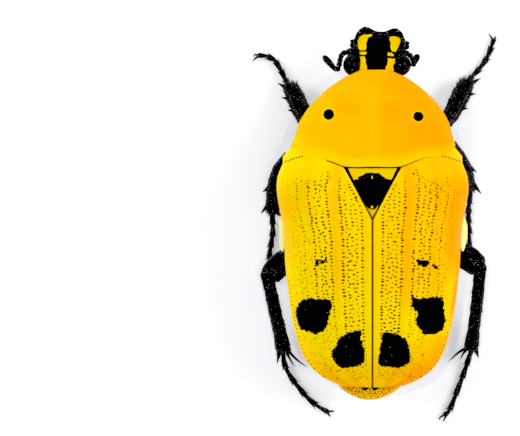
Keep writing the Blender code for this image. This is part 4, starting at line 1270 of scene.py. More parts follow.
@dataclass
class Head:
    """The head capsule: a notched, rimmed shield in front, black with two broken yellow bands."""

    rear: float = -11.5
    front: float = -14.93
    axis_rear: float = -0.34
    axis_front: float = -0.6
    width: Pairs = ((0.0, 1.6), (0.1, 1.82), (0.2, 1.95), (0.34, 1.9), (0.46, 1.62), (0.6, 1.48),
                    (1.0, 1.38))
    top: Pairs = ((0.0, 4.78), (0.26, 5.0), (0.6, 5.7), (0.87, 6.15), (1.0, 6.2))
    bottom: Pairs = ((0.0, 4.2), (0.3, 3.95), (1.0, 3.7))
    notch: tuple[float, float] = (0.33, 0.46)
    lobe: float = 0.45
    crown: float = 0.22
    draw: float = 1.15
    yellow: tuple[Outline, ...] = (
        ((1.09, -13.95), (0.99, -14.23), (0.69, -14.38), (0.2, -14.41), (0.02, -14.44), (0.02, -14.32),
         (0.29, -14.16), (0.38, -14.01), (0.48, -13.71), (0.45, -13.35), (0.57, -13.17), (0.93, -13.17),
         (1.08, -13.32)),
        ((0.99, -13.07), (0.44, -13.07), (0.47, -12.85), (0.99, -12.84)),
        ((0.99, -12.69), (0.62, -12.71), (0.51, -12.54), (0.5, -12.15), (0.41, -11.94), (0.46, -11.29),
         (1.02, -11.29), (1.02, -12.06), (1.08, -12.3), (1.05, -12.6)),
        ((-1.3, -14.23), (-1.67, -14.26), (-2.03, -14.16), (-2.12, -14.01), (-2.09, -13.77), (-1.97, -13.47),
         (-1.82, -13.14), (-1.73, -13.02), (-1.46, -13.11), (-1.34, -13.41), (-1.38, -13.71),
         (-1.27, -14.01)),
        ((-1.15, -13.01), (-1.48, -12.98), (-1.64, -12.79), (-1.54, -12.7), (-1.15, -12.76)),
        ((-1.18, -12.57), (-1.72, -12.51), (-1.69, -12.18), (-1.57, -12.0), (-1.57, -11.22), (-0.97, -11.29),
         (-1.0, -11.88), (-1.12, -12.06), (-1.15, -12.36)))

    def build(self, finish: Finish) -> None:
        """Build the capsule.

        Args:
            finish: Material of the shell.
        """
        def place(u: Array, v: Array) -> Array:
            """Places of the grid's points."""
            u = shut(u)
            under = u > 0.5
            t = np.where(under, 3 - 4 * u, 4 * u - 1)
            s = np.sign(t) * (1 - (1 - np.abs(t)) ** 1.5)
            depth, half = self.notch
            front = (self.front + self.lobe * np.maximum(0.0, (np.abs(s) - 0.72) / 0.28) ** 2
                     + depth * np.exp(-np.abs(s / half) ** 3))
            way = v ** self.draw
            y = front + (self.rear - front) * way - 0.085 * s * (1 - way)
            x = self.axis_front + (self.axis_rear - self.axis_front) * way + s * along(self.width, way)
            top = along(self.top, way) - (self.crown + 0.4 * way) * s * s
            low = along(self.bottom, way) + 0.25 * s * s
            middle = (top + low) / 2 + 0.12 * (1 - way)
            side = np.sqrt(1 - np.clip((np.abs(s) - 0.84) / 0.16, 0.0, 1.0) ** 2)
            lip = np.sqrt(1 - np.clip(1 - way / 0.045, 0.0, 1.0) ** 2)
            z = middle + (np.where(under, low, top) - middle) * side * lip
            return np.stack([x, y, z], axis=-1)

        piece = lay("head_capsule", 260, 150, place)
        u, v = noted(piece, "u"), noted(piece, "v")
        top = u <= 0.5
        s = np.abs(np.where(top, 4 * u - 1, 3 - 4 * u))
        s = 1 - (1 - s) ** 1.5
        way = v ** self.draw
        from_side = along(self.width, way) * (1 - s)
        from_front = way * 3.2
        inner = np.minimum(from_side, from_front)
        rim = bell(inner, 0.13, 0.1) * ease(0.62, 0.42, v) * top
        groove = bell(inner, 0.36, 0.12) * ease(0.62, 0.42, v) * top
        press(piece, 0.11 * rim - 0.06 * groove)
        x, y, _ = read(piece).T
        inner_top = top * ease(0.3, 0.5, inner)
        press(piece, 0.05 * inner_top * bell(x + 0.55, 0.0, 0.45) - 0.02 * inner_top)
        centres = scatter(piece, 2600, 0.13, 41, 0.02 + top.astype(float))
        pit(piece, centres, random_of(4).uniform(0.03, 0.05, len(centres)), 0.016)
        yellow = nearest_border(x, y, self.yellow)
        note(piece, "glint", np.clip(ease(0.62, 0.2, inner) + 0.9 * ease(0.7, 0.25, from_side), 0.02, 1.0))
        note(piece, "pit", noted(piece, "pit") - 0.9)
        note(piece, "ink", np.where(top, -yellow, -1.0))
        # Painted shade: the right yellow band is drawn warmer than the left one, as if lit from the left.
        note(piece, "tone", np.where(x > -0.5, 0.02, 0.25) + 0.1 * ease(-12.4, -11.6, y))
        dress(piece, finish, ("head",))


@dataclass
class Eyes:
    """The two bulging compound eyes, each with the black lid of shell over its front."""

    places: dict[str, tuple[Point, Point]] = field(default_factory=lambda: {
        "left": ((1.38, -12.08, 4.78), (0.84, 0.84, 0.82)),
        "right": ((-2.05, -12.08, 4.78), (0.85, 0.84, 0.82))})

    def build(self, lens: Finish, horn: Finish) -> None:
        """Build both eyes and their lids.

        Args:
            lens: Material of the eyes.
            horn: Material of the lids.
        """
        for side in Side:
            centre, halves = self.places[side.word]
            dress(ellipsoid(f"eye_{side.word}_lens", centre, halves, 96, 64), lens,
                  (f"eye_{side.word}",))
            base = (centre[0] - 0.62 * side.value, centre[1] - 0.72, centre[2] + 0.2)
            end = (centre[0] + 0.55 * side.value, centre[1] - 0.66, centre[2] + 0.12)
            lid = wrap(f"eye_{side.word}_lid",
                       (base, ((base[0] + end[0]) / 2, end[1] - 0.1, end[2] + 0.14), end),
                       lambda v: 0.2 * round_ends(v, 0.1, 0.6),
                       lambda v: 0.1 * round_ends(v, 0.1, 0.6), 20, 24)
            dress(lid, horn)


@dataclass
class Feeler:
    """One antenna: a stout first joint, a beaded stalk and a club of three leaves."""

    side: Side
    stalk: tuple[Point, ...]
    club: tuple[Point, Point]
    radius: float = 0.185
    leaf_half: float = 0.27
    leaf_thick: float = 0.11
    joints: int = 7

    def build(self, finish: Finish) -> None:
        """Build the antenna.

        Args:
            finish: Material of the black chitin.
        """
        def girth(v: Array) -> Array:
            """Half thickness for v from 0 to 1."""
            beads = 0.8 + 0.32 * np.abs(np.sin(v * math.pi * self.joints)) ** 0.7
            return self.radius * beads * (1 + 0.55 * bell(v, 0.1, 0.14)) * round_ends(v, 0.06, 0.05)

        parts = [wrap("stalk", self.stalk, girth, girth, 18, 90)]
        start, end = (np.array(p) for p in self.club)
        lift = np.array(UP)
        for index, offset in enumerate((-0.17, 0.0, 0.17)):
            root = start + lift * offset * 0.35
            tip = end + lift * offset
            middle = (root + tip) / 2 + lift * offset * 0.35
            length = 0.94 + 0.06 * index
            leaf = (tuple(root), tuple(middle), tuple(root + (tip - root) * length))
            parts.append(wrap("leaf", leaf,
                              lambda v: self.leaf_half * (0.55 + 0.5 * v) * round_ends(v, 0.15, 0.35),
                              lambda v: self.leaf_thick * round_ends(v, 0.15, 0.3), 20, 36))
        dress(join(parts, f"antenna_{self.side.word}_joints"), finish,
              (f"antenna_{self.side.word}",))


@dataclass
class Mouth:
    """Chin plate, lobed jaws, palps and a lip under the head."""

    chin: tuple[Point, Point] = ((-0.45, -12.85, 3.45), (1.0, 1.2, 0.6))
    jaws: tuple[Point, ...] = ((0.2, -13.75, 3.72), (-1.2, -13.85, 3.72))
    palps: tuple[tuple[Point, ...], ...] = (
        ((0.2, -13.1, 3.4), (1.05, -13.2, 3.45), (1.42, -13.6, 3.55), (1.52, -14.1, 3.7)),
        ((-1.0, -13.1, 3.4), (-2.05, -13.15, 3.45), (-2.5, -13.5, 3.55), (-2.66, -13.95, 3.7)))

    def build(self, finish: Finish) -> None:
        """Build the mouthparts.

        Args:
            finish: Material of the black chitin.
        """
        parts = [ellipsoid("chin", *self.chin)]
        parts += [ellipsoid("jaw", centre, (0.44, 0.6, 0.4), 32, 20) for centre in self.jaws]
        for points in self.palps:
            parts.append(wrap(
                "palp", points,
                lambda v: (0.14 + 0.13 * np.abs(np.sin(v * math.pi * 3.5))) * round_ends(v, 0.1, 0.12),
                lambda v: (0.1 + 0.09 * np.abs(np.sin(v * math.pi * 3.5))) * round_ends(v, 0.1, 0.12),
                18, 60))
        parts.append(wrap("lip", ((-1.35, -14.1, 4.05), (-0.6, -14.3, 4.0), (0.15, -14.1, 4.05)),
                          lambda v: 0.22 * round_ends(v, 0.3, 0.3),
                          lambda v: 0.12 * round_ends(v, 0.3, 0.3), 16, 30))
        dress(join(parts, "mouthparts_set"), finish, ("mouthparts",))


# Underside


@dataclass
class Trunk:
    """The underside: breast plates, hip plates and belly rings below the wing cases."""

    cases: WingCases
    shield: NeckShield
    side: float = 4.9
    inset: float = 0.56
    under: float = 0.95
    low_share: float = 0.75
    hip_reach: tuple[float, float] = (7.05, 7.17)
    breast: Pairs = ((-5.5, 3.3), (-5.1, 3.1), (-4.0, 3.1), (-3.2, 3.0), (-2.75, 1.75), (-2.3, 1.3),
                     (-1.4, 1.2), (-0.5, 1.18), (2.4, 1.6))
    belly: Pairs = ((2.0, 2.55), (4.0, 2.05), (8.0, 1.9), (10.3, 2.3))
    rings: tuple[float, ...] = (2.0, 3.9, 5.4, 6.9, 8.3, 9.4, 10.3)
    hip_front: Pairs = ((0.02, -0.55), (6.0, -0.5), (6.6, -0.75), (7.0, -0.55), (7.22, 0.1))
    hip_rear: Pairs = ((0.02, 2.05), (2.2, 2.0), (4.0, 1.6), (5.8, 1.0), (6.4, 1.35), (6.85, 2.05),
                       (7.22, 0.95))
    hip_floor: Pairs = ((0.02, 1.12), (2.0, 1.3), (4.0, 1.95), (5.6, 2.75), (6.3, 3.15), (6.8, 3.45),
                        (7.22, 3.75))

    def ring(self, turn: Array, half: Array, side: Array, rise: Array, belly: Array, power: float) -> Array:
        """x and z of one cross-section; turn goes from 0 at the left flank under the belly and over the top.

        Args:
            turn: Angle round the ring.
            half: Half width.
            side: Height of the flanks.
            rise: Rise of the top above the flanks.
            belly: Height of the lowest line.
            power: 2 for a round belly, more for a squarer one.

        Returns:
            x and z of each point.
        """
        c, s = np.cos(turn), np.sin(turn)
        low = s < 0
        share = np.where(low, 2.0 / power, 2.0 / 2.4)
        x = half * np.sign(c) * np.abs(c) ** share
        z = side + np.where(low, -(side - belly), rise) * np.abs(s) ** share
        return np.stack([x, z], axis=-1)

    def turn_of(self, u: Array) -> Array:
        """Angle round a ring, with the larger share of the columns below."""
        u = shut(u)
        low = self.low_share
        return np.where(u < low, -math.pi * u / low, -math.pi - math.pi * (u - low) / (1 - low))

    def breast_plate(self, finish: Finish, hair: Finish) -> None:
        """Middle and hind breast with its keel.

        Args:
            finish: Material of the black chitin.
            hair: Material of the bristles.
        """
        def place(u: Array, v: Array) -> Array:
            """Places of the grid's points."""
            y = -5.75 + 7.85 * v
            wide = along(self.cases.width, y) - self.inset - 0.2
            half = 5.3 + (wide - 5.3) * ease(-4.42, -4.28, y) - 0.5 * ease(-5.1, -5.6, y)
            side = 4.0 + (np.minimum(self.side, along(self.cases.edge, y)) - 4.0) * ease(-4.42, -4.28, y)
            roof = along(self.cases.back, y) - self.under - side
            rise = 0.25 + (roof - 0.25) * ease(-4.1, -3.8, y)
            flat = self.ring(self.turn_of(u), half, side, rise, along(self.breast, y), 2.1)
            lift = ease(-0.9, -0.4, y) * 0.22
            return np.stack([flat[:, 0], y,
                             np.where(flat[:, 1] < side, flat[:, 1] + lift, flat[:, 1])], axis=-1)

        body = lay("breast", 220, 170, place)
        x, y, z = read(body).T
        low = z < 3.9
        shape = -0.07 * bell(x, 0.0, 0.09) * ease(-2.4, -1.9, y) * low
        shape -= 0.05 * bell(np.abs(x) - 4.5 - 0.25 * (y + 2.5), 0.0, 0.07) * low
        press(body, shape)
        centres = scatter(body, 2600, 0.2, 51, 0.01 + low * ease(0.6, 3.2, np.abs(x)))
        pit(body, centres, random_of(6).uniform(0.05, 0.085, len(centres)), 0.04)
        keel = wrap("keel", ((0, -1.9, 1.75), (0, -3.2, 1.72), (0, -4.3, 1.75), (0, -5.25, 2.0)),
                    lambda v: (along(((0, 0.6), (0.45, 0.5), (0.75, 0.58), (1, 0.5)), v)
                               * round_ends(v, 0.1, 0.25)),
                    lambda v: 0.5 * round_ends(v, 0.1, 0.4), 40, 60, 2.6)
        lows = low * ease(1.2, 3.5, np.abs(read(body)[:, 0])) + 1e-6
        dress(Coat(body, (0.0, 1.0, -0.5), 900, 0.5, 0.013, 0.6, seed=401).build("breast_bristles", lows),
              hair)
        dress(join([body, keel], "breast_plate"), finish, ("thorax",))

    def fore_breast(self, finish: Finish, hair: Finish) -> None:
        """Underside of the neck shield with the ridge between the fore hips.

        Args:
            finish: Material of the black chitin.
            hair: Material of the bristles.
        """
        def place(u: Array, v: Array) -> Array:
            """Places of the grid's points."""
            y = -11.35 + 5.6 * v
            belly = along(((-11.3, 3.7), (-10.6, 3.3), (-9.4, 3.1), (-8.0, 3.1), (-7.0, 3.2),
                           (-6.2, 3.6)), y)
            half = (along(self.shield.width, y) - 0.38) * (1 - 0.1 * (1 - round_ends(v, 0.06, 0.06)))
            flat = self.ring(self.turn_of(u), half, np.full(len(y), 4.34), np.full(len(y), 0.26), belly, 2.2)
            return np.stack([flat[:, 0] + self.shield.axis(y), y, flat[:, 1]], axis=-1)

        body = lay("fore_breast", 160, 90, place)
        x, _, z = read(body).T
        low = z < 4.2
        press(body, low * (0.12 * bell(x + 0.2, 0.0, 0.3) - 0.06 * bell(np.abs(x + 0.2), 3.4, 0.1)))
        centres = scatter(body, 1500, 0.2, 61, 0.01 + low * ease(0.5, 3.0, np.abs(x)))
        pit(body, centres, random_of(7).uniform(0.045, 0.075, len(centres)), 0.035)
        lows = low * ease(0.8, 3.0, np.abs(read(body)[:, 0])) + 1e-6
        dress(Coat(body, (0.0, 1.0, -0.5), 700, 0.45, 0.012, 0.6, seed=402)
              .build("fore_breast_bristles", lows), hair)
        dress(body, finish, ("prosternum",))

    def hip(self, side: Side, finish: Finish) -> None:
        """One hind hip plate, pale where it shows beside the wing case.

        Args:
            side: Which one.
            finish: Material of the shell.
        """
        sign = side.value

        def place(u: Array, v: Array) -> Array:
            """Places of the grid's points."""
            u = shut(u)
            under = u > 0.5
            t = np.where(under, 2 * u - 1, 1 - 2 * u)
            x = 0.03 + self.hip_reach[sign < 0] * t
            front = along(self.hip_front, x)
            rear = along(self.hip_rear, x)
            y = front + (rear - front) * v
            inset_half = np.maximum(along(self.cases.width, y) - self.under - 0.1, 1.0)
            roof = 4.9 - (4.9 - 3.3) * dome(x, inset_half, 2.6)
            out = np.clip((x - 6.3) / 0.92, 0.0, 1.0)
            top = np.minimum(4.45, roof - 0.05) - 0.5 * out * out - 0.35 * out * (2 * v - 1) ** 2
            low = along(self.hip_floor, x) + 0.12 * (1 - np.sin(math.pi * v))
            rim = round_ends(v, 0.08, 0.08) * np.sqrt(1 - np.clip((t - 0.93) / 0.07, 0.0, 1.0) ** 2)
            middle = (top + low) / 2
            z = middle + (np.where(under, low, top) - middle) * rim
            return np.stack([sign * x, y, z], axis=-1)

        piece = lay(f"hip_plate_{side.word}", 200, 60, place)
        x, y, _ = read(piece).T
        centres = scatter(piece, 900, 0.18, 71 + sign, 0.01 + ease(1.0, 4.0, np.abs(x)))
        pit(piece, centres, random_of(8).uniform(0.045, 0.07, len(centres)), 0.03)
        note(piece, "pit", noted(piece, "pit") - 0.95)
        note(piece, "ink", -(5.9 + 0.2 * np.sin(y * 4.0) - np.abs(x)))
        note(piece, "tone", np.zeros(len(x)))
        dress(piece, finish, (f"coxa_hind_{side.word}",))

    def abdomen(self, finish: Finish) -> None:
        """The belly, one ring behind the other, each stepping over the next.

        Args:
            finish: Material of the shell.
        """
        starts = np.array(self.rings)

        def place(u: Array, v: Array) -> Array:
            """Places of the grid's points."""
            y = self.rings[0] + (self.rings[-1] + 0.55 - self.rings[0]) * v
            index = np.clip(np.searchsorted(starts, y, side="right") - 1, 0, len(starts) - 2)
            grown = np.clip((y - starts[index]) / (starts[index + 1] - starts[index]), 0.0, 1.0)
            step = 0.14 * grown ** 0.6 * ease(1.0, 0.955, grown)
            tail = ease(9.9, 10.9, y)
            half = (along(self.cases.width, y) - self.inset - 0.25) * (1 - 0.42 * tail)
            side = np.minimum(self.side, along(self.cases.edge, y)) - 0.4 * tail
            rise = np.maximum(0.3, (along(self.cases.back, y) - self.under - side) * (1 - 0.6 * tail))
            belly = along(self.belly, y) - step + 0.3 * tail
            flat = self.ring(self.turn_of(u), half + 0.05 * grown, side, rise, belly, 2.0)
            return np.stack([flat[:, 0], y, flat[:, 1]], axis=-1)

        piece = lay("abdomen_rings", 200, 230, place)
        x, y, z = read(piece).T
        low = z < 4.6
        centres = scatter(piece, 2600, 0.2, 81, 0.01 + low * (0.25 + ease(1.5, 4.0, np.abs(x))))
        pit(piece, centres, random_of(9).uniform(0.05, 0.08, len(centres)), 0.035)
        note(piece, "pit", noted(piece, "pit") - 0.9)
        index = np.clip(np.searchsorted(starts, y, side="right") - 1, 0, len(starts) - 2)
        length = starts[index + 1] - starts[index]
        grown = (y - starts[index]) / length
        turn = noted(piece, "u") / self.low_share * math.pi
        arc = np.minimum(turn, math.pi - turn) * 3.4
        size = random_of(12).uniform(0.8, 1.15, (2, len(starts)))[(x > 0).astype(int), index]
        centre = 1.25 - 0.09 * index
        spot = np.hypot((arc - centre) * 0.42, (grown - 0.5) * length - 0.12 * (arc - centre)) - 0.24 * size
        note(piece, "ink", np.where(low & (arc > 0), -spot, -1.0))
        note(piece, "tone", np.full(len(x), 0.1))
        dress(piece, finish, ("abdomen",))

    def flank(self, side: Side, finish: Finish) -> None:
        """The mesepimeron: a plate whose yellow top fills the corner between neck shield and wing case.

        Args:
            side: Which one.
            finish: Material of the shell.
        """
        sign = side.value
        floor, inner, outer, bend, corner = 3.4, 3.4, 6.72, 6.1, 5.98

        def top(x: Array, t: Array) -> Array:
            """Height of the yellow top, with t from 0 at the neck shield to 1 at the wing case."""
            held = bend - 0.25 * np.log1p(np.exp((bend - x) / 0.25))
            ahead = self.shield.height(held + self.shield.axis(-6.0), along(self.shield.rear, held))
            behind = self.cases.height(np.minimum(x, 6.7), np.full(len(x), -4.6))
            level = ahead + (behind - ahead) * np.clip(t, 0.0, 1.0) ** 1.3 - 0.1
            past = np.maximum(0.0, -t) + np.maximum(0.0, t - 1)
            return level - 0.3 * past - 0.35 * ease(0.75, 1.0, (x - 5.0) / 1.72) ** 2

        def place(u: Array, v: Array) -> Array:
            """Places of the grid's points."""
            u = shut(u)
            x = inner + (outer - inner) * np.clip(u / 0.5, 0.0, 1.0)
            back = np.clip((u - 0.72) / 0.25, 0.0, 1.0)
            x = np.where(u > 0.5, outer - (outer - inner - 0.3) * back, x)
            seam_front = np.where(x < bend, along(self.shield.rear, np.minimum(x, bend)) - 0.05, -6.0)
            seam_front = np.maximum(seam_front, -6.05 + 1.13 * (x - corner))
            seam_rear = along(self.cases.base, np.minimum(x, 6.78))
            tuck = 0.3 / np.maximum(0.2, seam_rear - seam_front)
            first = np.where(x < corner, -tuck, 0.0)
            t = first + (1 + tuck - first) * v
            y = seam_front + (seam_rear - seam_front) * t
            high = top(x, t) - 0.32 * (1 - round_ends(v, 0.1, 0.1))
            fall = np.clip((u - 0.5) / 0.22, 0.0, 1.0)
            z = np.where(u <= 0.5, high, high + (floor - high) * fall)
            bulge = 0.06 * np.sin(math.pi * fall) - 0.5 * np.maximum(0.0, fall - 0.3)
            return np.stack([sign * (x + np.where(u > 0.5, bulge * (1 - back), 0.0)), y, z], axis=-1)

        piece = lay(f"flank_plate_{side.word}", 120, 60, place)
        x, y, z = read(piece).T
        out = np.arange(5.25, 6.8, 0.21)
        rows = np.stack([sign * out, along(self.cases.base, out) - 0.07 - 0.02 * (out - 5.2),
                         np.zeros(len(out))], axis=-1)
        distance = np.min(np.hypot(x[:, None] - rows[None, :, 0], y[:, None] - rows[None, :, 1]), axis=1)
        note(piece, "pit", np.where(noted(piece, "u") < 0.5, 1.2 - distance / 0.055, -1.0))
        note(piece, "ink", z - 4.6 + 0.3 * np.sin(y * 3.0))
        # Painted shade: the right plate is drawn warmer than the left one, as if lit from the left.
        note(piece, "tone", np.full(len(x), 0.02 if sign > 0 else 0.6))
        dress(piece, finish, (f"mesepimeron_{side.word}",))


# Legs


@dataclass
class Leg:
    """One leg in the photo's pose: hip and thigh, shin with teeth and spurs, five-jointed foot, claws."""

    name: str
    hip: tuple[Point, Point]
    thigh: tuple[Point, ...]
    thigh_half: tuple[float, ...]
    shin: tuple[Point, ...]
    shin_half: tuple[float, ...]
    teeth: tuple[tuple[Point, Point], ...]
    spurs: tuple[tuple[Point, Point], ...]
    foot: tuple[Point, ...]
    claws: tuple[Point, Point]
    thigh_thick: float = 0.5
    shin_thick: float = 0.3
    foot_half: float = 0.22
    knee_reach: float = 0.45
    joints: int = 5
    solid_foot: float = 0.24

    def spread(self, halves: tuple[float, ...]) -> Pairs:
        """Half widths as pairs from 0 to 1 along a limb."""
        return tuple((i / (len(halves) - 1), half) for i, half in enumerate(halves))

    def number(self) -> int:
        """Place of the leg among the six, which sets its seeds and its part of the coat's map."""
        return [leg.name for leg in LEGS].index(self.name)

    def settle(self, point: Point) -> Point:
        """Lower a point of the foot, which is thinner here than in the solids, to rest on the floor."""
        drop = (self.solid_foot - self.foot_half) * float(ease(1.0, 0.35, point[2]))
        return (point[0], point[1], point[2] - drop)

    def build(self, finish: Finish, hair: Finish) -> None:
        """Build the three pieces of the leg and their bristles.

        Args:
            finish: Material of the black chitin.
            hair: Material of the bristles.
        """
        halves = self.spread(self.thigh_half)
        thigh = wrap("thigh", self.thigh, lambda v: along(halves, v) * round_ends(v, 0.08, 0.09),
                     lambda v: (self.thigh_thick * (0.8 + 0.2 * np.sin(math.pi * v))
                                * round_ends(v, 0.08, 0.12)), 64, 90, 2.2)
        u, v = noted(thigh, "u"), noted(thigh, "v")
        press(thigh, -0.05 * bell(u, 0.5, 0.03) * ease(0.35, 0.6, v)
              + 0.02 * np.sin(v * 40) * bell(u, 0.5, 0.1))
        hip = ellipsoid("hip", *self.hip)
        first = np.array(self.thigh[0])
        second = np.array(self.thigh[1])
        collar = first + (second - first) * 0.16
        ring = ellipsoid("trochanter", tuple(collar - (0, 0, 0.04)), (0.42, 0.42, 0.36), 32, 20)
        dress(join([thigh, hip, ring], f"leg_{self.name}_thigh"), finish,
              (f"leg_{self.name}_femur",))
        self.build_shin(finish, hair)
        self.build_foot(finish, hair)

    def build_shin(self, finish: Finish, hair: Finish) -> None:
        """Shin with its ridges, teeth and spurs.

        Args:
            finish: Material of the black chitin.
            hair: Material of the bristles.
        """
        knee = (np.array(self.shin[0])
                - unit(np.array(self.shin[1]) - np.array(self.shin[0])) * self.knee_reach)
        end = np.array(self.shin[-1]) * 1.2 - np.array(self.shin[-2]) * 0.2
        points = (tuple(knee), *self.shin[1:-1], tuple(end))
        halves = self.spread(self.shin_half)
        limb = wrap("shin", points, lambda v: along(halves, v) * round_ends(v, 0.06, 0.03)
                    * (1 + 0.03 * np.sin(v * 31.0) + 0.02 * np.sin(v * 57.0)),
                    lambda v: self.shin_thick * (0.8 + 0.3 * v) * round_ends(v, 0.05, 0.05), 56, 110, 2.4)
        u, v = noted(limb, "u"), noted(limb, "v")
        ribs = 0.028 * np.cos(u * math.tau * 6) * ease(0.1, 0.3, v) * ease(1.0, 0.9, v)
        press(limb, ribs)
        centres = scatter(limb, 260, 0.24, 90, ease(0.1, 0.2, v) + 0.01)
        pit(limb, centres, np.full(len(centres), 0.07), 0.035)
        parts = [limb]
        for base, tip in self.teeth:
            parts.append(thorn("tooth", base, tip, 0.27, 0.0, 18, 14, 1.15))
        for base, tip in self.spurs:
            parts.append(thorn("spur", base, self.settle(tip), 0.13, 0.05, 18, 10))
        end, before = np.array(points[-1]), np.array(points[-2])
        ahead = unit(end - before)
        across = unit(np.cross(ahead, UP))
        lift = np.cross(across, ahead)
        for k in range(7):
            angle = math.pi * (0.15 + 0.12 * k) + (math.pi if k % 2 else 0.0)
            out = (across * math.cos(angle) * self.shin_half[-1] * 0.8
                   + lift * math.sin(angle) * self.shin_thick * 0.8)
            start = end - ahead * 0.12 + out * 0.8
            parts.append(thorn("comb", tuple(start), tuple(start + ahead * 0.34 + out * 0.35),
                               0.05, 0.0, 6, 6))
        number = self.number()
        fringe = Coat(limb, tuple(ahead), 420, 0.3, 0.016, 0.72, (0.02, 0.02 + 0.15 * number, 0.45, 0.13),
                      200 + number)
        edge = 0.15 + np.abs(np.cos(u * math.tau)) ** 3
        hairs = fringe.build(f"leg_{self.name}_shin_bristles", edge * ease(0.05, 0.2, v))
        dress(hairs, hair)
        dress(join(parts, f"leg_{self.name}_shin"), finish, (f"leg_{self.name}_tibia",))

    def build_foot(self, finish: Finish, hair: Finish) -> None:
        """Foot joints, each flared to its end, with their spines and the two claws.

        Args:
            finish: Material of the black chitin.
            hair: Material of the bristles.
        """
        points = tuple(self.settle(p) for p in self.foot)
        first, second = np.array(points[0]), np.array(points[1])
        points = (tuple(first - (second - first) * 0.3 + np.array((0.0, 0.0, 0.05))), *points[1:])
        marks = path(points, np.linspace(0.0, 1.0, self.joints * JOINT_STEPS + 1))
        number = self.number()
        parts, tufts = [], []
        for joint in range(self.joints):
            row = marks[joint * JOINT_STEPS:(joint + 1) * JOINT_STEPS + 1].copy()
            if joint:
                row[0] -= (row[1] - row[0]) * 0.6
            last = joint == self.joints - 1
            wide = self.foot_half * (0.86 if last else 1.0)
            parts.append(wrap(
                "joint", tuple(tuple(p) for p in row),
                lambda v, wide=wide: wide * (0.74 + 0.3 * ease(0.2, 0.9, v)) * round_ends(v, 0.1, 0.1),
                lambda v, wide=wide: wide * (0.74 + 0.26 * ease(0.2, 0.9, v)) * round_ends(v, 0.1, 0.1),
                20, 26))
            ahead = unit(row[-1] - row[-2])
            coat = Coat(parts[-1], tuple(ahead), 70, 0.2, 0.012, 0.7,
                        (0.52 + 0.09 * joint, 0.02 + 0.15 * number, 0.08, 0.13), 300 + 10 * number + joint)
            tufts.append(coat.build("tuft", 0.2 + ease(0.2, 0.9, noted(parts[-1], "v"))))
            across = unit(np.cross(ahead, UP))
            if not last:
                for sign in (-1, 1):
                    start = row[-1] - ahead * 0.1 + across * sign * self.foot_half * 0.6
                    tip = start + ahead * 0.3 + across * sign * 0.2 + np.array((0, 0, 0.02))
                    parts.append(thorn("spine", tuple(start), tuple(tip), 0.045, 0.0, 8, 6))
                    low = start - np.array((0, 0, 0.05))
                    point = low + ahead * 0.22 + across * sign * 0.07 - np.array((0, 0, 0.02))
                    parts.append(thorn("spine", tuple(low), tuple(point), 0.035, 0.0, 6, 6))
        wrist = marks[-1]
        ahead = unit(wrist - marks[-4])
        across = np.cross(ahead, UP)
        for end in self.claws:
            tip = np.array(end)
            lean = (1.0 if np.dot(tip - wrist, across)
                    > np.dot(np.mean(self.claws, axis=0) - wrist, across) else -1.0)
            middle = wrist + (tip - wrist) * 0.5 + ahead * 0.06 + across * lean * 0.1 + np.array((0, 0, 0.1))
            parts.append(wrap("claw", (tuple(wrist - ahead * 0.1), tuple(middle), tuple(tip)),
                              lambda v: 0.085 * (1 - 0.85 * v ** 1.5) * round_ends(v, 0.1, 0.04),
                              lambda v: 0.075 * (1 - 0.85 * v ** 1.5) * round_ends(v, 0.1, 0.04), 12, 22))
        dress(join(tufts, f"leg_{self.name}_foot_bristles"), hair)
        foot = join(parts, f"leg_{self.name}_foot")
        points_now = read(foot)
        points_now[:, 2] = np.maximum(points_now[:, 2], 0.0)
        write(foot, points_now)
        dress(foot, finish, (f"leg_{self.name}_tarsus",))


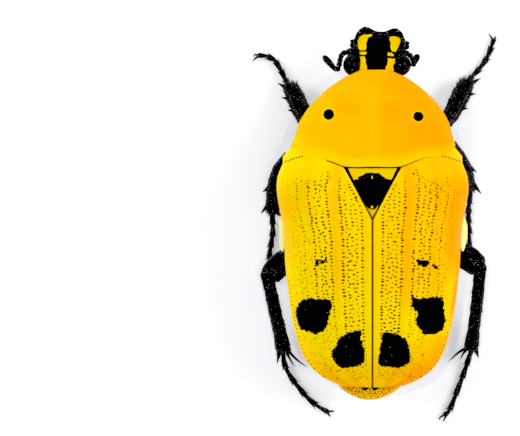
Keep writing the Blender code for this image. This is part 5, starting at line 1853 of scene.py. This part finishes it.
LEGS = (
    Leg("fore_left", ((1.2, -9.0, 2.08), (0.8, 0.85, 0.72)),
        ((1.5, -8.8, 2.1), (3.0, -8.15, 2.25), (4.95, -7.35, 2.65)), (0.6, 0.8, 0.55),
        ((4.85, -7.55, 2.6), (5.15, -8.1, 2.3), (5.53, -8.96, 1.9), (6.0, -10.0, 1.35),
         (6.38, -10.68, 1.02)),
        (0.48, 0.58, 0.66, 0.64, 0.46),
        (((5.75, -8.75, 1.95), (6.54, -8.81, 1.9)), ((6.15, -9.7, 1.5), (7.04, -9.77, 1.45)),
         ((6.5, -10.5, 1.1), (7.3, -10.93, 0.95))),
        (((6.1, -10.45, 1.05), (5.75, -11.15, 0.8)),),
        ((6.4, -10.75, 0.85), (6.62, -11.04, 0.62), (6.9, -11.61, 0.4), (7.19, -12.18, 0.28),
         (7.58, -12.73, 0.24), (8.19, -13.04, 0.24), (8.84, -13.12, 0.24)),
        ((9.25, -12.66, 0.05), (9.2, -12.98, 0.05))),
    Leg("fore_right", ((-1.2, -9.0, 2.08), (0.8, 0.85, 0.72)),
        ((-1.5, -8.8, 2.1), (-3.2, -8.15, 2.3), (-5.4, -7.3, 2.7)), (0.6, 0.8, 0.55),
        ((-5.32, -7.5, 2.6), (-5.9, -8.3, 2.2), (-6.5, -9.4, 1.65), (-6.92, -10.3, 1.3),
         (-7.28, -10.95, 1.02)),
        (0.48, 0.58, 0.66, 0.64, 0.46),
        (((-6.5, -8.85, 1.9), (-7.34, -8.92, 1.85)), ((-7.0, -9.95, 1.45), (-7.96, -10.06, 1.4)),
         ((-7.4, -10.75, 1.1), (-8.35, -11.3, 0.95))),
        (((-6.95, -10.6, 1.05), (-6.65, -11.35, 0.8)),),
        ((-7.25, -10.95, 0.85), (-7.6, -11.35, 0.6), (-8.19, -11.99, 0.36), (-8.77, -12.8, 0.25),
         (-9.11, -13.62, 0.24), (-9.34, -14.31, 0.24)),
        ((-8.9, -14.7, 0.05), (-9.36, -14.55, 0.05))),
    Leg("mid_left", ((1.55, -3.7, 2.1), (0.65, 0.62, 0.72)),
        ((1.8, -3.75, 1.95), (4.0, -4.7, 2.45), (6.2, -5.4, 3.15)), (0.55, 0.8, 0.5),
        ((6.5, -5.1, 3.1), (7.12, -4.3, 2.75), (7.5, -3.2, 2.2), (7.66, -2.1, 1.6), (7.64, -1.05, 1.08)),
        (0.42, 0.44, 0.47, 0.47, 0.5),
        (((7.8, -2.95, 1.85), (8.46, -2.5, 1.75)), ((7.9, -1.65, 1.2), (8.62, -0.84, 1.05))),
        (((7.6, -1.55, 1.1), (6.7, -0.4, 0.85)), ((7.55, -1.6, 1.1), (7.1, -0.62, 0.75))),
        ((7.78, -1.25, 0.95), (7.7, -0.3, 0.48), (7.69, 0.5, 0.32), (7.78, 1.2, 0.26), (7.9, 1.95, 0.24),
         (7.98, 2.75, 0.24), (8.03, 3.9, 0.24)),
        ((7.85, 4.5, 0.05), (8.2, 4.48, 0.05))),
    Leg("mid_right", ((-1.55, -3.7, 2.1), (0.65, 0.62, 0.72)),
        ((-1.8, -3.75, 1.95), (-3.9, -4.9, 2.45), (-5.85, -6.05, 3.1)), (0.55, 0.8, 0.5),
        ((-6.1, -5.95, 3.1), (-6.58, -5.3, 2.85), (-7.06, -4.4, 2.3), (-7.35, -3.5, 1.7),
         (-7.46, -2.75, 1.15)),
        (0.42, 0.42, 0.44, 0.4, 0.42),
        (((-7.3, -4.5, 2.1), (-7.96, -4.04, 2.0)), ((-7.6, -3.3, 1.35), (-8.37, -2.33, 1.15))),
        (((-7.35, -3.0, 1.2), (-6.5, -1.85, 0.85)), ((-7.3, -3.0, 1.2), (-6.85, -2.1, 0.8))),
        ((-7.55, -2.65, 0.95), (-7.44, -1.75, 0.5), (-7.38, -1.0, 0.34), (-7.4, -0.23, 0.26),
         (-7.44, 0.6, 0.24), (-7.5, 1.85, 0.24)),
        ((-7.35, 2.45, 0.05), (-7.7, 2.42, 0.05))),
    Leg("hind_left", ((1.6, 2.85, 1.45), (0.55, 0.5, 0.5)),
        ((1.8, 2.9, 1.45), (4.4, 2.85, 1.7), (6.3, 2.7, 2.25), (7.3, 3.3, 2.55), (7.92, 4.1, 2.85)),
        (0.5, 0.85, 0.95, 0.92, 0.82),
        ((8.0, 4.05, 2.75), (7.67, 5.55, 2.3), (7.42, 6.86, 1.8), (7.12, 8.16, 1.3), (6.85, 9.6, 0.95)),
        (0.5, 0.46, 0.46, 0.48, 0.58),
        (((7.1, 9.5, 1.0), (7.34, 10.7, 0.85)),),
        (((6.6, 9.5, 0.95), (4.95, 11.0, 0.6)), ((6.65, 9.55, 0.9), (5.98, 10.9, 0.55))),
        ((6.86, 9.9, 0.85), (6.75, 10.8, 0.48), (6.25, 11.8, 0.3), (5.63, 12.6, 0.25), (4.98, 13.36, 0.24),
         (4.23, 13.96, 0.24), (3.4, 14.45, 0.24)),
        ((2.9, 14.36, 0.05), (3.2, 14.75, 0.05)), knee_reach=0.78),
    Leg("hind_right", ((-1.6, 2.85, 1.45), (0.55, 0.5, 0.5)),
        ((-1.8, 2.9, 1.45), (-4.5, 2.95, 1.7), (-6.6, 2.25, 2.25), (-8.35, 3.35, 2.85)),
        (0.5, 0.85, 1.0, 0.86), ((-8.17, 3.6, 2.75), (-8.05, 5.1, 2.3), (-7.9, 6.6, 1.8), (-7.75, 8.0, 1.3),
                                 (-7.57, 9.42, 0.95)),
        (0.5, 0.43, 0.42, 0.44, 0.56),
        (((-7.85, 9.3, 1.0), (-8.14, 10.25, 0.85)),),
        (((-7.4, 9.3, 0.95), (-5.81, 10.55, 0.6)), ((-7.35, 9.35, 0.9), (-6.75, 10.35, 0.55))),
        ((-7.55, 9.7, 0.85), (-7.32, 10.5, 0.48), (-7.05, 11.35, 0.3), (-6.73, 12.21, 0.24),
         (-6.24, 13.5, 0.24), (-5.9, 14.3, 0.24), (-5.6, 14.6, 0.24)),
        ((-5.1, 15.05, 0.05), (-5.4, 15.15, 0.05)), knee_reach=0.85),
)

FEELERS = (
    Feeler(Side.LEFT, ((0.95, -13.2, 4.3), (1.7, -13.12, 4.4), (2.25, -12.95, 4.55), (2.42, -12.55, 4.7),
                       (2.52, -12.1, 4.75), (2.68, -11.6, 4.8)),
           ((2.68, -11.62, 4.8), (3.66, -12.72, 4.85))),
    Feeler(Side.RIGHT, ((-1.7, -13.2, 4.3), (-2.35, -13.08, 4.45), (-2.85, -12.8, 4.6),
                        (-3.08, -12.35, 4.75), (-3.05, -11.95, 4.85)),
           ((-3.03, -11.98, 4.9), (-3.42, -12.8, 5.4))),
)


# Studio


@dataclass
class Studio:
    """Pale floor, soft light and the camera straight above the beetle."""

    eye: Point = (0.0, 0.0, 223.1)
    aim: Point = (8.49, -0.53, 5.0)
    lens: float = 200.0
    floor_half: float = 4000.0
    # Name, place, size and radiance of each soft box.
    lamps: tuple[tuple[str, Point, float, float], ...] = (
        ("key", (-230.0, -60.0, 170.0), 160.0, 6.4), ("fill", (230.0, -90.0, 170.0), 160.0, 4.8),
        ("head", (30.0, -290.0, 100.0), 140.0, 3.6), ("tail", (-20.0, 290.0, 100.0), 140.0, 4.2),
        ("spark_left", (26.0, -20.0, 224.0), 6.0, 480.0), ("spark_right", (-24.0, 18.0, 224.0), 6.0, 420.0))

    def build(self) -> None:
        """Build floor, lights and camera."""
        self.floor()
        for lamp in self.lamps:
            self.light(*lamp)
        self.camera()
        scene = bpy.context.scene
        scene.view_settings.view_transform = "Standard"
        scene.view_settings.use_curve_mapping = True
        scene.view_settings.curve_mapping.black_level = (0.012, 0.012, 0.012)
        scene.view_settings.curve_mapping.update()
        world = bpy.data.worlds.new("studio")
        scene.world = world
        world.use_nodes = True
        tree = world.node_tree
        ground = tree.nodes["Background"]
        ground.inputs["Color"].default_value = (1.0, 1.0, 1.0, 1.0)
        way = add(tree, "ShaderNodeTexCoord").outputs["Generated"]
        high = add(tree, "ShaderNodeSeparateXYZ", {0: way}).outputs["Z"]
        tree.links.new(remap(tree, high, 0.1, 0.6, 0.6, 0.02), ground.inputs["Strength"])

    def floor(self) -> None:
        """A wide, matt, near-white board."""
        bpy.ops.object.select_all(action="DESELECT")
        bpy.ops.mesh.primitive_plane_add(size=2 * self.floor_half * MM)
        board = bpy.context.object
        board.name = "floor_board"
        made = bpy.data.materials.new("matt_white_card")
        made.use_nodes = True
        feed(made.node_tree, made.node_tree.nodes["Principled BSDF"],
             {"Base Color": tint("#FAFAFC"), "Roughness": 0.9, "Specular IOR Level": 0.05,
              "Emission Color": tint("#F6F6FF"), "Emission Strength": 0.32})
        board.data.materials.append(made)

    def light(self, name: str, place: Point, size: float, radiance: float) -> None:
        """A square soft box that faces the beetle.

        Args:
            name: The lamp's name.
            place: Its place in millimetres.
            size: Edge of the box in millimetres.
            radiance: How bright its face is.
        """
        bpy.ops.object.select_all(action="DESELECT")
        spot = Vector(place) * MM
        bpy.ops.object.light_add(type="AREA", location=spot)
        lamp = bpy.context.object
        lamp.name = name
        lamp.data.size = size * MM
        lamp.data.energy = radiance * math.pi * (size * MM) ** 2
        lamp.rotation_euler = (-spot).to_track_quat("-Z", "Y").to_euler()

    def camera(self) -> None:
        """Look straight down, with the head at the top of the picture."""
        eye, aim = Vector(self.eye) * MM, Vector(self.aim) * MM
        forward = (aim - eye).normalized()
        right = forward.cross(Vector((0.0, -1.0, 0.0))).normalized()
        up = right.cross(forward)
        bpy.ops.object.select_all(action="DESELECT")
        bpy.ops.object.camera_add(location=eye)
        made = bpy.context.object
        made.rotation_euler = Matrix((right, up, -forward)).transposed().to_euler()
        made.data.lens = self.lens
        made.data.sensor_width = 36.0
        made.data.clip_start = 0.001
        made.data.clip_end = 50.0
        bpy.context.scene.camera = made


def main() -> None:
    """Load the frame and build every piece of the beetle."""
    logging.basicConfig(level=logging.INFO, format="%(message)s")
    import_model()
    yellow = Cuticle("yellow_chitin_pitted", ground="#FFDE00").material()
    smooth = Cuticle("yellow_chitin_smooth", ragged_mm=0.03, ragged_size_mm=0.15).material()
    banded = Cuticle("black_and_yellow_chitin", ground="#F2CC00", warm="#E8A800", ragged_mm=0.035,
                     ragged_size_mm=0.16, specular=0.025, inked_roughness=0.26, inked_specular=0.02,
                     speck_gap_mm=0.19, speck_mm=0.046).material()
    lemon = Cuticle("lemon_chitin", ground="#FFE000", warm="#FFB400", ragged_mm=0.02,
                    ragged_size_mm=0.1).material()
    pale = Cuticle("pale_yellow_chitin", ground="#FAF8A0", warm="#EFE070", ragged_mm=0.05).material()
    horn = Horn("black_chitin").material()
    leg_horn = Horn("black_leg_chitin", puncture_mm=0.16, speck_gap_mm=0.2).material()
    brown_hair = Bristle("brown_setae").material()
    dark_hair = Bristle("black_setae", colour="#050404", tips="#120A06").material()
    scutellum = Scutellum()
    cases = WingCases()
    shield = NeckShield()
    Studio().build()
    scutellum.build(cases, banded)
    for side in Side:
        cases.build(side, scutellum, yellow)
    shield.build(smooth)
    Pygidium().build(yellow)
    Head().build(banded)
    Eyes().build(Facets().material(), horn)
    for feeler in FEELERS:
        feeler.build(leg_horn)
    Mouth().build(horn)
    trunk = Trunk(cases, shield)
    trunk.breast_plate(horn, brown_hair)
    trunk.fore_breast(horn, brown_hair)
    trunk.abdomen(banded)
    for side in Side:
        trunk.hip(side, pale)
        trunk.flank(side, lemon)
    for leg in LEGS:
        leg.build(leg_horn, dark_hair)


if __name__ == "__main__":
    main()
